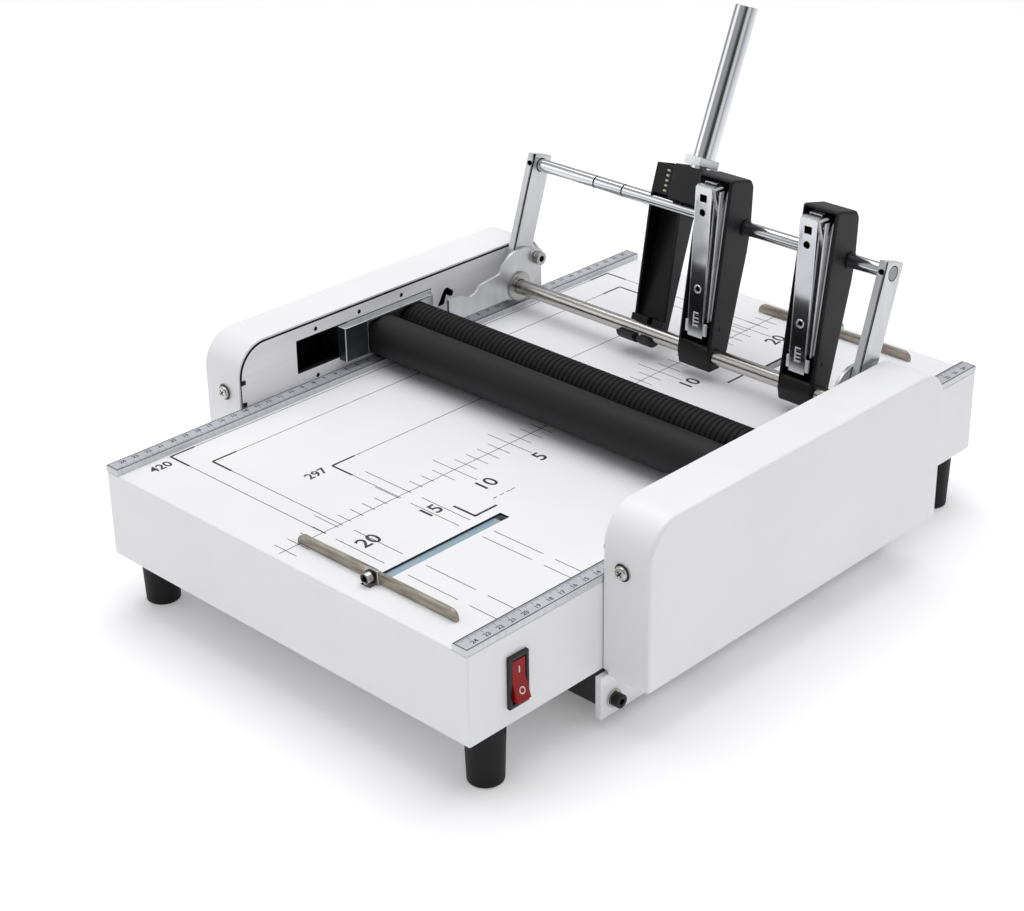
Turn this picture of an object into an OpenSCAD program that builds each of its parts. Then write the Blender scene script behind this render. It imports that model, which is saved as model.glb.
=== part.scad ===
// Desk booklet maker: a sheet-metal table with a hand-swung stapling frame,
// a sliding pair of folding rollers and a folding blade that rises from below.
// X runs along the fold, Y from the front of the table to the back, Z up.
// The fold line is Y = 0, and the feet stand on Z = 0.

/* [Base] */
// Width of the table
base_w = 324; // [300:1:360]
// Length of the table
base_l = 500; // [480:1:560]
// Height of the sheet-metal base
base_h = 60; // [58:1:80]
// Sheet thickness of the base and the tray
sheet_t = 1.5; // [1:0.1:2.5]
// Width of the flange folded in along the bottom of the base
flange_w = 30; // [26:1:40]
// Height of a foot
foot_h = 38.5; // [34:0.5:60]
// Diameter of a foot at its top
foot_top_d = 25; // [20:0.5:26]
// Diameter of a foot at the floor
foot_bottom_d = 22.4; // [18:0.2:25]
// From the side of the base to the middle of a foot
foot_inset_x = 13; // [13:0.5:16]
// From the end of the base to the middle of a foot
foot_inset_y = 25; // [16:1:40]
// Depth of the tray under the base
tray_h = 26; // [20:1:28]

/* [Rulers] */
// Width of a ruler bar
ruler_w = 12; // [8:0.5:12.2]
// Thickness of a ruler bar
ruler_t = 4; // [2:0.5:4]

/* [Side housings] */
// Thickness of a side plate
plate_t = 4.5; // [3:0.5:5]
// How far a side plate reaches below the table top
plate_drop = 91; // [87:1:94]
// From the outside of a side plate to the outside of its cover
cover_depth = 32; // [31:0.5:45]
// How far the covers reach in front of the fold line
cover_front = 140; // [130:1:150]
// How far the covers reach behind the fold line
cover_back = 153; // [150:1:170]
// Height of the covers above the table top
cover_top = 48; // [47:0.5:60]
// How far the covers hang below the table top
cover_drop = 62; // [50:1:64]
// Radius of the covers' top corners
cover_r = 24; // [10:1:30]
// Sheet thickness of the covers
cover_t = 1.5; // [1:0.1:2]
// Dark gap between a cover and the edge of its side plate
cover_gap = 0.8; // [0.5:0.1:3]

/* [Rollers] */
// Diameter of both rollers
roller_d = 30; // [26:0.5:31]
// Gap between the rollers and the table
paper_gap = 4.4; // [4.2:0.1:6]
// Gap between the two rollers
nip_gap = 0.6; // [0.4:0.1:2]
// Gap from a roller's end to the side plate
roller_end_gap = 4; // [3.5:0.1:6]
// Diameter of the metal core inside the rubber
core_d = 24; // [20:0.5:25]
// Diameter of the roller journals
journal_d = 10; // [8:0.5:10]
// Spacing of the rings cut in the rear roller
rib_pitch = 4.2; // [3:0.1:6]
// Width of a ring's groove
rib_groove = 1.2; // [0.8:0.1:1.6]
// Depth of a ring's groove
rib_depth = 0.8; // [0.4:0.1:1.2]

/* [Swing frame] */
// From the fold line back to the lower shaft
pivot_y = 114; // [112:0.5:120]
// Height of the lower shaft above the table
pivot_h = 18.6; // [18:0.1:20]
// How far the arms lean back at rest, in degrees
arm_lean = 18.4; // [10:0.1:22]
// Distance between the lower and the upper shaft
arm_span = 90.8; // [84:0.2:96]
// Width of an arm
arm_w = 19; // [16:0.5:20]
// Thickness of an arm
arm_t = 6.5; // [4:0.5:6.6]
// Gap from an arm to the side plate
arm_gap = 3; // [2.9:0.1:3.5]
// Diameter of the lower shaft
lower_shaft_d = 11; // [9:0.5:11.5]
// Diameter of the upper shaft
upper_shaft_d = 9.5; // [7:0.5:10]
// Thickness of the pivot brackets
bracket_t = 2.5; // [1.5:0.5:4]

/* [Staplers] */
// Place of the left stapler along the fold
stapler_left_x = 24; // [20:0.5:40]
// Place of the right stapler along the fold
stapler_right_x = 111; // [90:0.5:126]
// Place of the bare station with its two grooves
station_x = -84; // [-100:0.5:-72]
// Width of a stapler body
stapler_w = 28.5; // [26:0.5:32]
// Wall of a stapler body
stapler_wall = 2.4; // [1.6:0.1:3]
// From the lower shaft to the top of a stapler body
stapler_top = 124.5; // [118:0.5:126]
// From the lower shaft to the bottom of a stapler body
stapler_bottom = 11.6; // [10:0.2:14]
// How far the front of a body stands before the lower shaft
stapler_front = 7.5; // [6.5:0.1:7.8]
// How far the back of a body stands behind the lower shaft, at the bottom
stapler_back_low = 12.9; // [12:0.1:15]
// How far the back of a body stands behind the lower shaft, at the top
stapler_back_high = 20.7; // [20:0.1:25]
// How much less a stapler leans back than the arms, in degrees
stapler_tilt = 9.3; // [7:0.1:10]
// Width of the metal magazine
magazine_w = 13; // [10:0.5:16]
// Length of the magazine from its pin to its nose
magazine_l = 99.6; // [90:0.2:100]
// Angle that the magazine stands away from its body, in degrees
magazine_open = 6; // [5:0.1:6.4]
// Diameter of the magazine pin
pin_d = 3; // [2:0.2:4]

/* [Lever] */
// Middle of the lever channel along the fold
lever_x = -30.7; // [-36:0.1:-28]
// Width of the lever channel
lever_w = 28.5; // [24:0.5:32]
// Sheet thickness of the lever channel
lever_t = 2; // [1:0.1:3]
// Width of the block that carries the handle
block_w = 30; // [24:0.5:31]
// Height of the block that carries the handle
block_h = 25; // [20:0.5:27]
// Diameter of the handle tube
tube_d = 16; // [12:0.5:18]
// Wall of the handle tube
tube_wall = 1.5; // [1:0.1:3]
// Length of the handle tube above its block
tube_l = 114; // [60:1:160]
// How much further the handle leans back than the arms, in degrees
tube_lean = 4.8; // [0:0.1:10]

/* [Fold blade] */
// Thickness of the blade
blade_t = 2; // [1:0.1:2.4]
// From an end of the blade's edge to the side of the table
blade_end_gap = 14; // [13:0.5:20]
// Height of the blade
blade_h = 51.5; // [48:0.5:52]
// Width of a notch that clears an anvil
notch_w = 26; // [24:0.5:30]
// Depth of a notch
notch_h = 20; // [20:0.5:24]

/* [Paper stops] */
// Length of a stop bar
stop_l = 134; // [100:1:150]
// Thickness of a stop bar, which stands on edge
stop_t = 3; // [2:0.5:5]
// Height of a stop bar
stop_h = 6.6; // [6:0.2:12]
// Width of the slots in the table
slot_w = 8; // [6:0.5:10]
// Place of the front stop along the fold
front_stop_x = 65; // [40:1:80]
// From the front of the table to the front stop's face
front_stop_inset = 24; // [20:0.5:60]
// Place of the back stop along the fold
back_stop_x = 52; // [30:1:66]
// From the back of the table to the back stop's face
back_stop_inset = 19.5; // [19:0.5:50]
// Distance of the slots' inner ends from the fold line, in front
front_slot_in = 121; // [100:1:130]
// Distance of the slots' inner ends from the fold line, at the back
back_slot_in = 156; // [155:1:165]

/* [Drive] */
// Tooth module of the roller gears
roller_mod = 1.53; // [1.4:0.01:1.6]
// Teeth of a roller gear
roller_teeth = 20; // [18:1:20]
// Teeth of the idler behind the rollers
idler_teeth = 31; // [24:1:31]
// Teeth of the motor gear
motor_teeth = 28; // [26:1:30]
// Tooth module of the carriage drive
rack_mod = 1.25; // [1.1:0.01:1.3]
// Teeth that the carriage sector would have as a full wheel
sector_teeth = 42; // [40:1:43]
// Teeth of the carriage pinion
pinion_teeth = 16; // [15:1:17]
// Tooth module of the blade lift
lift_mod = 1; // [0.8:0.05:1.1]
// Teeth of a blade lift pinion
lift_teeth = 16; // [14:1:17]
// Width of all gears
gear_w = 7; // [4:0.5:7.5]

/* [Switch and inlet] */
// Height of the switch frame
switch_h = 34; // [30:0.5:40]
// Width of the switch frame
switch_w = 16; // [14:0.5:20]
// From the front of the table to the middle of the switch
switch_inset = 38; // [30:1:60]
// From the side of the table to the middle of the power inlet
inlet_inset = 62; // [30:1:80]

/* [Hidden] */
$fn = 64;
table_z = foot_h + base_h;
// Places that follow the ends of the table
front_stop_y = base_l / 2 - front_stop_inset;
back_stop_y = base_l / 2 - back_stop_inset;
switch_y = base_l / 2 - switch_inset;
// Glue line between the core and the sleeve of a roller
glue_gap = 0.12;
// Tab and foot of the stops, which the slots are cut for
tab_t = 2;
foot_plate_w = 14;
// Named clearances
run_fit = 0.05;
slide_fit = 0.3;
wide_fit = 0.5;
hole_fit = 0.2;
cut = 1;
// Widths measured from the middle of the machine
plate_in = base_w / 2;
plate_out = plate_in + plate_t;
cover_out = plate_out + cover_depth;
arm_out = plate_in - arm_gap;
arm_in = arm_out - arm_t;
bracket_out = arm_in - wide_fit;
bracket_in = bracket_out - bracket_t;
roller_half = plate_in - roller_end_gap;
// Rollers and their carriage
roller_r = roller_d / 2;
roller_y = roller_r + nip_gap / 2;
roller_z = paper_gap + roller_r;
roller_gear_r = roller_mod * roller_teeth / 2;
gear_y = roller_gear_r;
carriage_low = 12.6;
carriage_high = 36.4;
carriage_front = 44;
carriage_back = 36;
carriage_lip = 3;
carriage_flange = 1.7;
carriage_in = plate_in - carriage_lip + slide_fit;
carriage_out = plate_out + slide_fit + carriage_flange;
bush_wall = 1;
// Swing and the travel that it gives the carriage
swing_max = 98.5;
sector_r = rack_mod * sector_teeth / 2;
pinion_r = rack_mod * pinion_teeth / 2;
carriage_travel = sector_r * swing_max * PI / 180;
window_spare = 1;
window_front = carriage_front + carriage_travel + wide_fit;
window_back = carriage_back + window_spare;
mesh_angle = 225;
gear_lip = 15;
pinion_y = pivot_y + (sector_r + pinion_r) * cos(mesh_angle);
pinion_z = pivot_h + (sector_r + pinion_r) * sin(mesh_angle);
rack_z = pinion_z - pinion_r;
stud_d = 8;
stud_collar_d = 12;
stud_cap = 1.5;
layer_in = carriage_out + wide_fit;
layer_in_end = layer_in + gear_w;
layer_out = layer_in_end + 7;
layer_out_end = layer_out + gear_w - 1;
// Roller drive on the right
idler_r = roller_mod * idler_teeth / 2;
motor_r = roller_mod * motor_teeth / 2;
idler_y = roller_y + roller_gear_r + idler_r;
motor_z = -25;
motor_y = idler_y + sqrt(pow(idler_r + motor_r, 2) - pow(roller_z - motor_z, 2));
motor_angle = atan2(motor_z - roller_z, motor_y - idler_y);
motor_shaft_d = 8;
motor_d = 40;
motor_l = 50;
motor_box = 46;
motor_box_t = 16;
// Fold blade, its anvils and its lift
blade_l = base_w - 2 * blade_end_gap;
blade_lift = 13;
blade_rest = 0.5;
blade_slot = blade_t + 2 * slide_fit;
blade_slot_l = blade_l + 3;
blade_wing = 4;
guide_l = 8;
anvil_w = 18;
anvil_l = 12;
anvil_h = 6;
anvil_lip = 2;
stations = [station_x, stapler_left_x, stapler_right_x];
carrier_h = 10;
carrier_w = 10;
carrier_seat = 4;
rack_from_motor = 30;
carrier_inset = 20;
rack_w = 10;
hanger_w = 8;
hanger_h = 8;
hanger_l = 14;
hanger_foot = 3;
hanger_foot_l = 20;
carrier_z = -blade_rest - blade_h - (carrier_h - carrier_seat);
lift_r = lift_mod * lift_teeth / 2;
rack_stem = 4;
rack_bar_y = carrier_w / 2 + rack_stem + 1.25 * lift_mod;
lift_y = rack_bar_y + lift_r;
lift_z = -40;
lift_inset = 58;
lift_x = blade_l / 2 - lift_inset;
lift_shaft_d = 8;
lift_motor_inset = 88;
lift_end = blade_l / 2 - lift_motor_inset;
// Places of the stapling frame
lower_r = lower_shaft_d / 2;
upper_r = upper_shaft_d / 2;
magazine_pin = [-1, 20];
magazine_face = 7.7;
magazine_tail = 7.7;
stapler_floor = 7.5;
stapler_xs = [stapler_left_x, stapler_right_x];
clip_d = upper_shaft_d + 2.6;
clip_t = 1;
clip_xs = [for (x = stapler_xs) for (side = [-1, 1]) x + side * (stapler_w / 2 + clip_t / 2)];
groove_xs = [for (side = [-1, 1]) station_x + side * (stapler_w / 2 - clip_t)];
block_left = lever_x + lever_w / 2 - 10.5;
block_x = block_left + block_w / 2;
block_low = arm_span + upper_r + 0.2;
block_front = 8;
block_back = 14;
tube_seat = 10;
tube_d_at = 3;
nut_af = 24;
nut_h = 6;
nut_lift = nut_af * sin(tube_lean) / sqrt(3) + 0.1;
// Screws
tray_screw_ys = [-135, -60, 60, 135];
tray_screw_z = -80;
tray_screw_d = 5;
plate_screw_ys = [-110, 110];
plate_screw_zs = [-14, -46];
plate_screw_d = 5;
cover_screw_z = 12;
cover_screw_d = 4;
lug_w = 22;
lug_t = 3;
lug_h = 16;
foot_screw_d = 6;
pivot_bush_wall = 2;
bush_lip = 3.5;
stop_bolt_d = 5;
spacer_d = 8;
stop_along = 22.3;
stop_across = arm_w / 2 + spacer_d / 2 + 0.1;
bush_d = lower_shaft_d + 2 * pivot_bush_wall;
cap_head_d = 10;
cap_head_h = 5;
cap_socket_d = 4.6;
cap_socket_h = 2.5;
head_over = 4;
head_t = 5.4;
tray_washer_t = 1.6;
tray_washer_over = 7;
plate_head_h = 4;
cover_head_h = 2;
cover_head_over = 5;

// Shared shapes

// Everything on the machine is placed from the table top
module at_table() translate([0, 0, table_z]) children();

// A flat (y, z) outline made solid from x0 to x1
module along_x(x0, x1) translate([x0, 0, 0]) rotate([90, 0, 90]) linear_extrude(x1 - x0) children();

// A round bar along X
module rod_x(x0, x1, y, z, d) translate([x0, y, z]) rotate([0, 90, 0]) cylinder(d = d, h = x1 - x0);

// A round bar along Y
module rod_y(y0, y1, x, z, d) translate([x, y1, z]) rotate([90, 0, 0]) cylinder(d = d, h = y1 - y0);

// A box between two corners
module block(low, high) translate(low) cube(high - low);

// The same solid on the right and mirrored on the left
module both_sides() {
    children();
    mirror([1, 0, 0]) children();
}

// The frame of the arms: origin on the lower shaft, Z along the arms, Y to their back
module swing_frame() at_table() translate([0, pivot_y, pivot_h]) rotate([-arm_lean, 0, 0]) children();

// The frame of a stapler body, which leans back less than the arms
module stapler_frame(x) swing_frame() translate([x, 0, 0]) rotate([stapler_tilt, 0, 0]) children();

// The frame of a magazine: origin on its pin, Z along its flat face
module magazine_frame(x) stapler_frame(x) translate([0, magazine_pin[0], magazine_pin[1]])
    rotate([magazine_open, 0, 0]) children();

// Involute gear teeth, drawn with straight flanks inside the true curve
pressure = 20;
play = 0.88;
function inv(a) = tan(a) * 180 / PI - a;
function flank(r, rp, n) = play * 90 / n + inv(pressure)
    - (r > rp * cos(pressure) ? inv(acos(rp * cos(pressure) / r)) : 0);
function gear_points(n, m, add) = let (rp = n * m / 2, rs = [rp - 1.25 * m, rp, rp + add * m])
    [for (i = [0 : n - 1]) for (k = [0 : 5])
        let (r = rs[k < 3 ? k : 5 - k], a = i * 360 / n + (k < 3 ? -1 : 1) * flank(r, rp, n))
        [r * cos(a), r * sin(a)]];
// Turn of a gear that meshes with another one seen in direction phi
function mesh_turn(turn, na, nb, phi) = phi + 180 + 180 / nb + (phi - turn) * na / nb;

module gear(x0, x1, y, z, n, m, turn, add = 0.9) translate([0, y, z]) rotate([turn, 0, 0])
    along_x(x0, x1) polygon(gear_points(n, m, add));

// Teeth of a rack along a line, as trapezoids on the bar's edge; the gap centres are at offset + k * pitch
function rack_points(from, to, m, offset) = let (p = PI * m, lean = tan(pressure),
        first = ceil((from - offset) / p), last = floor((to - offset) / p) - 1, half = play * p / 4)
    [for (k = [first : last]) for (s = [[-1, -1.25], [-1, 0.9], [1, 0.9], [1, -1.25]])
        [offset + (k + 0.5) * p + s[0] * (half - s[1] * m * lean), s[1] * m]];

// Base

// Switch, inlet and shaft openings in the walls of the base
module base_wall_cuts() {
    block([plate_in - 3 * sheet_t, -switch_y - switch_w / 2 + 1.5, -base_h / 2 - 1.5 - switch_h / 2 + 2],
        [plate_in + cut, -switch_y + switch_w / 2 - 1.5, -base_h / 2 - 1.5 + switch_h / 2 - 2]);
    block([inlet_x - inlet_w / 2, base_l / 2 - 3 * sheet_t, -base_h / 2 - inlet_h / 2],
        [inlet_x + inlet_w / 2, base_l / 2 + cut, -base_h / 2 + inlet_h / 2]);
    rod_x(plate_in - 3 * sheet_t, plate_in + cut, motor_y, motor_z, motor_shaft_d + 4);
    both_sides() for (y = plate_screw_ys) for (z = plate_screw_zs)
        rod_x(plate_in - 3 * sheet_t, plate_in + cut, y, z, plate_screw_d + hole_fit);
}
inlet_x = base_w / 2 - inlet_inset;
inlet_w = 27;
inlet_h = 20;
// The slots end just past the stops, over a shallow channel that the stops' feet run in
slot_spare = 5;
slot_margin = stop_t + tab_t + slot_spare;
channel_w = foot_plate_w + 2;
channel_h = 9;
channel_end = 4;
module slot_channel(x, y0, y1) difference() {
    block([x - channel_w / 2 - sheet_t, y0 - channel_end - sheet_t, -sheet_t - channel_h],
        [x + channel_w / 2 + sheet_t, y1 + channel_end + sheet_t, -sheet_t / 2]);
    block([x - channel_w / 2, y0 - channel_end, -channel_h], [x + channel_w / 2, y1 + channel_end, 0]);
}

module table_cuts() {
    block([-blade_slot_l / 2, -blade_slot / 2, -3 * sheet_t], [blade_slot_l / 2, blade_slot / 2, cut]);
    for (x = stations) block([x - anvil_w / 2, -anvil_l / 2, -3 * sheet_t],
        [x + anvil_w / 2, anvil_l / 2, cut]);
    block([front_stop_x - slot_w / 2, -front_stop_y - slot_margin, -3 * sheet_t],
        [front_stop_x + slot_w / 2, -front_slot_in, cut]);
    block([back_stop_x - slot_w / 2, back_slot_in, -3 * sheet_t],
        [back_stop_x + slot_w / 2, back_stop_y + slot_margin, cut]);
}

foot_places = [for (sx = [-1, 1]) for (sy = [-1, 1])
    [sx * (base_w / 2 - foot_inset_x), sy * (base_l / 2 - foot_inset_y)]];

module folded_base() {
    difference() {
        block([-base_w / 2, -base_l / 2, -base_h], [base_w / 2, base_l / 2, 0]);
        block([-base_w / 2 + sheet_t, -base_l / 2 + sheet_t, -base_h + sheet_t],
            [base_w / 2 - sheet_t, base_l / 2 - sheet_t, -sheet_t]);
        block([-base_w / 2 + flange_w, -base_l / 2 + flange_w, -base_h - cut],
            [base_w / 2 - flange_w, base_l / 2 - flange_w, -base_h + 2 * sheet_t]);
    }
    slot_channel(front_stop_x, -front_stop_y - slot_margin, -front_slot_in);
    slot_channel(back_stop_x, back_slot_in, back_stop_y + slot_margin);
}
module base_shell() color("whitesmoke") at_table() difference() {
    folded_base();
    base_wall_cuts();
    table_cuts();
    for (p = foot_places) translate([p[0], p[1], -base_h - cut]) cylinder(d = foot_screw_d, h = 4 * sheet_t);
}

tray_front = cover_front + 1;
tray_back = cover_back - 5;

module undertray() color("black") at_table() difference() {
    block([-plate_in, -tray_front, -base_h - tray_h], [plate_in, tray_back, -base_h]);
    block([-plate_in + sheet_t, -tray_front + sheet_t, -base_h - tray_h + sheet_t],
        [plate_in - sheet_t, tray_back - sheet_t, -base_h + cut]);
    both_sides() for (y = tray_screw_ys)
        rod_x(plate_in - 3 * sheet_t, plate_in + cut, y, tray_screw_z, tray_screw_d);
}

// Each foot is moulded round a threaded stud, which a nut holds inside the base
foot_hollow_d = 12;
foot_web = 14;
module feet() color("dimgray") for (p = foot_places) translate([p[0], p[1], 0]) {
    difference() {
        cylinder(d1 = foot_bottom_d, d2 = foot_top_d, h = foot_h);
        translate([0, 0, -cut]) cylinder(d = foot_hollow_d, h = foot_h - foot_web + cut);
    }
    translate([0, 0, foot_h - 2]) cylinder(d = foot_screw_d, h = 2 + sheet_t + 6);
    translate([0, 0, foot_h + sheet_t]) cylinder(d = foot_screw_d + 4, h = 4, $fn = 6);
}

module right_ruler() color("silver") at_table()
    block([base_w / 2 - ruler_w, -base_l / 2, 0], [base_w / 2, base_l / 2, ruler_t]);
module left_ruler() mirror([1, 0, 0]) right_ruler();

// Side housings

module plate_outline(front, back, low, high, r) {
    translate([-front, low]) square([front + back, high - r - low]);
    translate([-front + r, low]) square([front + back - 2 * r, high - low]);
    translate([-front + r, high - r]) circle(r);
    translate([back - r, high - r]) circle(r);
}

// Outline of a side plate inside its cover, with the foot that reaches forward below the base
plate_margin = cover_t + cover_gap;
plate_toe = 6;
plate_toe_h = plate_drop - cover_drop;
module plate_solid() {
    along_x(plate_in, plate_out)
        plate_outline(cover_front - plate_margin, cover_back - plate_margin, -plate_drop,
            cover_top - plate_margin, max(cover_r - plate_margin, 1));
    block([plate_in, -cover_front - plate_toe, -plate_drop],
        [plate_out, -cover_front + plate_margin + cut, -plate_drop + plate_toe_h]);
    for (y = [-cover_front + cover_t, cover_back - cover_t - lug_t])
        block([plate_out - cut, y, cover_screw_z - lug_h / 2],
            [plate_out + lug_w, y + lug_t, cover_screw_z + lug_h / 2]);
    for (y = [-cover_front + cover_t, cover_back - cover_t - lug_t - plate_margin])
        block([plate_in, y, cover_screw_z - lug_h / 2],
            [plate_out, y + lug_t + plate_margin, cover_screw_z + lug_h / 2]);
}

module plate_cuts() {
    block([plate_in - cut, -window_front, carriage_low - slide_fit],
        [plate_out + cut, window_back, carriage_high + slide_fit]);
    rod_x(plate_in - cut, plate_out + cut, pivot_y, pivot_h, bush_d);
    rod_x(plate_in - cut, plate_out + cut, pinion_y, pinion_z, stud_d);
    rod_x(plate_in - cut, plate_out + cut, stop_y, stop_z, stop_bolt_d);
    for (y = tray_screw_ys) rod_x(plate_in - cut, plate_out + cut, y, tray_screw_z, tray_screw_d);
    for (y = plate_screw_ys) for (z = plate_screw_zs)
        rod_x(plate_in - cut, plate_out + cut, y, z, plate_screw_d);
    for (y = [-cover_front, cover_back])
        rod_y(y - 3 * lug_t, y + 3 * lug_t, plate_out + lug_w / 2, cover_screw_z, cover_screw_d);
}

// Small tapped holes along the top of a plate
spare_hole_ys = [-72, -32, 8];
spare_hole_z = cover_top - 7.5;
module spare_holes() for (y = spare_hole_ys)
    rod_x(plate_in - cut, plate_in + 2.5, y, spare_hole_z, 3);

module right_side_plate() color("silver") at_table() difference() {
    plate_solid();
    plate_cuts();
    spare_holes();
    rod_x(plate_in - cut, plate_out + cut, motor_y, motor_z, motor_shaft_d + 4);
    rod_x(plate_in - cut, plate_out + cut, idler_y, roller_z, stud_d);
}
// Bent slot behind the window of the left plate
bent_slot_gap = 5;
bent_slot = [[2, -2], [8, 8], [10, 10], [12.5, 9.8], [18, 5.6], [16.6, 2.4], [14, 2.8], [11, 5], [8, -2]];
module left_side_plate() color("silver") at_table() mirror([1, 0, 0]) difference() {
    plate_solid();
    plate_cuts();
    spare_holes();
    along_x(plate_in - cut, plate_out + cut)
        polygon([for (p = bent_slot) [carriage_back + bent_slot_gap + p[0], roller_z + 3 + p[1]]]);
}

cover_in = plate_in + 1;
module cover_shell() difference() {
    along_x(cover_in, cover_out) plate_outline(cover_front, cover_back, -cover_drop, cover_top, cover_r);
    along_x(cover_in - cut, cover_out - cover_t)
        plate_outline(cover_front - cover_t, cover_back - cover_t, -cover_drop + cover_t,
            cover_top - cover_t, max(cover_r - cover_t, 1));
    block([cover_in - cut, -cover_front - cut, -cover_drop - cut],
        [plate_out + hole_fit, cover_back + cut, -cover_drop + 2 * cover_t]);
    for (y = [-cover_front, cover_back])
        rod_y(y - 2 * cover_t, y + 2 * cover_t, plate_out + lug_w / 2, cover_screw_z,
            cover_screw_d + hole_fit);
}
module right_cover() color("white") at_table() cover_shell();
module left_cover() color("white") at_table() mirror([1, 0, 0]) cover_shell();

// Pivot brackets and the fixings of the side plates

function arm_point(along, across) = [pivot_y + along * sin(arm_lean) + across * cos(arm_lean),
    pivot_h + along * cos(arm_lean) - across * sin(arm_lean)];
stop_y = arm_point(stop_along, stop_across)[0];
stop_z = arm_point(stop_along, stop_across)[1];

// S-shaped plate that stands off the side plate on the shaft's bush and on one bolt
bracket_front = roller_y + roller_r + 12;
bracket_low = 11;
bracket_top = [[-58, 9.7], [-50, 6.4], [-44, 8.2], [-39.5, 12.6], [-20.8, 14.7], [-17.5, 17.5], [-15.4, 21],
    [-9, 26], [-2.7, 28.2], [6, 28.4], [13.2, 26.7]];
module bracket_solid() along_x(bracket_in, bracket_out) {
    polygon(concat([[bracket_front, pivot_h + bracket_top[0][1] + 1]],
        [for (p = bracket_top) [pivot_y + p[0], pivot_h + p[1]]],
        [[stop_y - 2.6, stop_z], [stop_y - 3.4, pivot_h - 2], [pivot_y + 9, pivot_h - 9],
            [pivot_y, pivot_h - 11],
            [pivot_y - 12, bracket_low], [bracket_front, bracket_low]]));
    translate([stop_y, stop_z]) circle(7);
}
module right_pivot_bracket() color("gainsboro") at_table() difference() {
    bracket_solid();
    rod_x(bracket_in - cut, bracket_out + cut, pivot_y, pivot_h, bush_d);
    rod_x(bracket_in - cut, bracket_out + cut, stop_y, stop_z, stop_bolt_d);
}
module left_pivot_bracket() mirror([1, 0, 0]) right_pivot_bracket();

bush_flange_t = 2;
module pivot_bushes() color("goldenrod") at_table() both_sides() {
    difference() {
        union() {
            rod_x(bracket_in, bracket_out, pivot_y, pivot_h, bush_d);
            rod_x(bracket_in - bush_flange_t, bracket_in, pivot_y, pivot_h, bush_d + 2 * bush_lip);
        }
        rod_x(bracket_in - 2 * bush_flange_t, bracket_out + cut, pivot_y, pivot_h,
            lower_shaft_d + 2 * run_fit);
    }
    difference() {
        union() {
            rod_x(plate_in, plate_out, pivot_y, pivot_h, bush_d);
            rod_x(plate_out, plate_out + bush_flange_t, pivot_y, pivot_h, bush_d + pivot_bush_wall);
        }
        rod_x(plate_in - cut, plate_out + 2 * bush_flange_t, pivot_y, pivot_h, lower_shaft_d + 2 * run_fit);
    }
}

// Bolts that hold the brackets off the side plates; their spacers stop the arms
module stand_off(y, z) {
    rod_x(bracket_in, plate_out, y, z, stop_bolt_d);
    rod_x(bracket_out, plate_in, y, z, spacer_d);
    difference() {
        rod_x(bracket_in - cap_head_h, bracket_in, y, z, cap_head_d);
        rod_x(bracket_in - cap_head_h - cut, bracket_in - cap_head_h + cap_socket_h, y, z, cap_socket_d);
    }
}
module stop_bolts() color("lightgray") at_table() both_sides() {
    stand_off(stop_y, stop_z);
}

module cap_screw(x0, x1, y, z, d) {
    rod_x(x0, x1, y, z, d);
    rod_x(x1, x1 + tray_washer_t, y, z, d + tray_washer_over);
    difference() {
        rod_x(x1 + tray_washer_t, x1 + tray_washer_t + head_t, y, z, d + head_over);
        rod_x(x1 + head_t - cut, x1 + tray_washer_t + head_t + cut, y, z, d - 1);
    }
}
module tray_screws() color("black") at_table() both_sides() for (y = tray_screw_ys)
    cap_screw(plate_in - 2 * sheet_t, plate_out, y, tray_screw_z, tray_screw_d);

module plate_screw(y, z) {
    rod_x(plate_in - sheet_t, plate_out, y, z, plate_screw_d);
    rod_x(plate_in - sheet_t - plate_head_h, plate_in - sheet_t, y, z, plate_screw_d + head_over);
}

module cover_screw(y, out) {
    inner = y - out * (cover_t + lug_t);
    rod_y(min(y, inner), max(y, inner), plate_out + lug_w / 2, cover_screw_z, cover_screw_d);
    rod_y(min(y, y + out * cover_head_h), max(y, y + out * cover_head_h), plate_out + lug_w / 2,
        cover_screw_z,
        cover_screw_d + cover_head_over);
}
module case_screws() color("silver") at_table() both_sides() {
    for (y = plate_screw_ys) for (z = plate_screw_zs) plate_screw(y, z);
    cover_screw(-cover_front, -1);
    cover_screw(cover_back, 1);
}

// Studs that carry the carriage pinions and the roller idler
module stud(x0, x1, y, z) {
    rod_x(plate_in, x1, y, z, stud_d);
    rod_x(plate_out, x0, y, z, stud_collar_d);
    rod_x(x1, x1 + stud_cap, y, z, stud_collar_d);
}
module gear_studs() color("silver") at_table() {
    both_sides() stud(layer_out - slide_fit, layer_out_end + slide_fit, pinion_y, pinion_z);
    stud(layer_in - slide_fit, layer_in_end + slide_fit, idler_y, roller_z);
}

// Motors, blade guides and electrics inside the base

module drive_motor() color("dimgray") at_table() difference() {
    union() {
        block([plate_in - sheet_t - motor_box_t, motor_y - motor_box / 2, motor_z - motor_box / 2],
            [plate_in - sheet_t, motor_y + motor_box / 2, motor_z + motor_box / 2]);
        rod_x(plate_in - sheet_t - motor_box_t - motor_l, plate_in - sheet_t - motor_box_t, motor_y,
            motor_z, motor_d);
    }
    rod_x(plate_in - sheet_t - motor_box_t + 2, plate_in, motor_y, motor_z, motor_shaft_d + 2 * run_fit);
}

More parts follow.
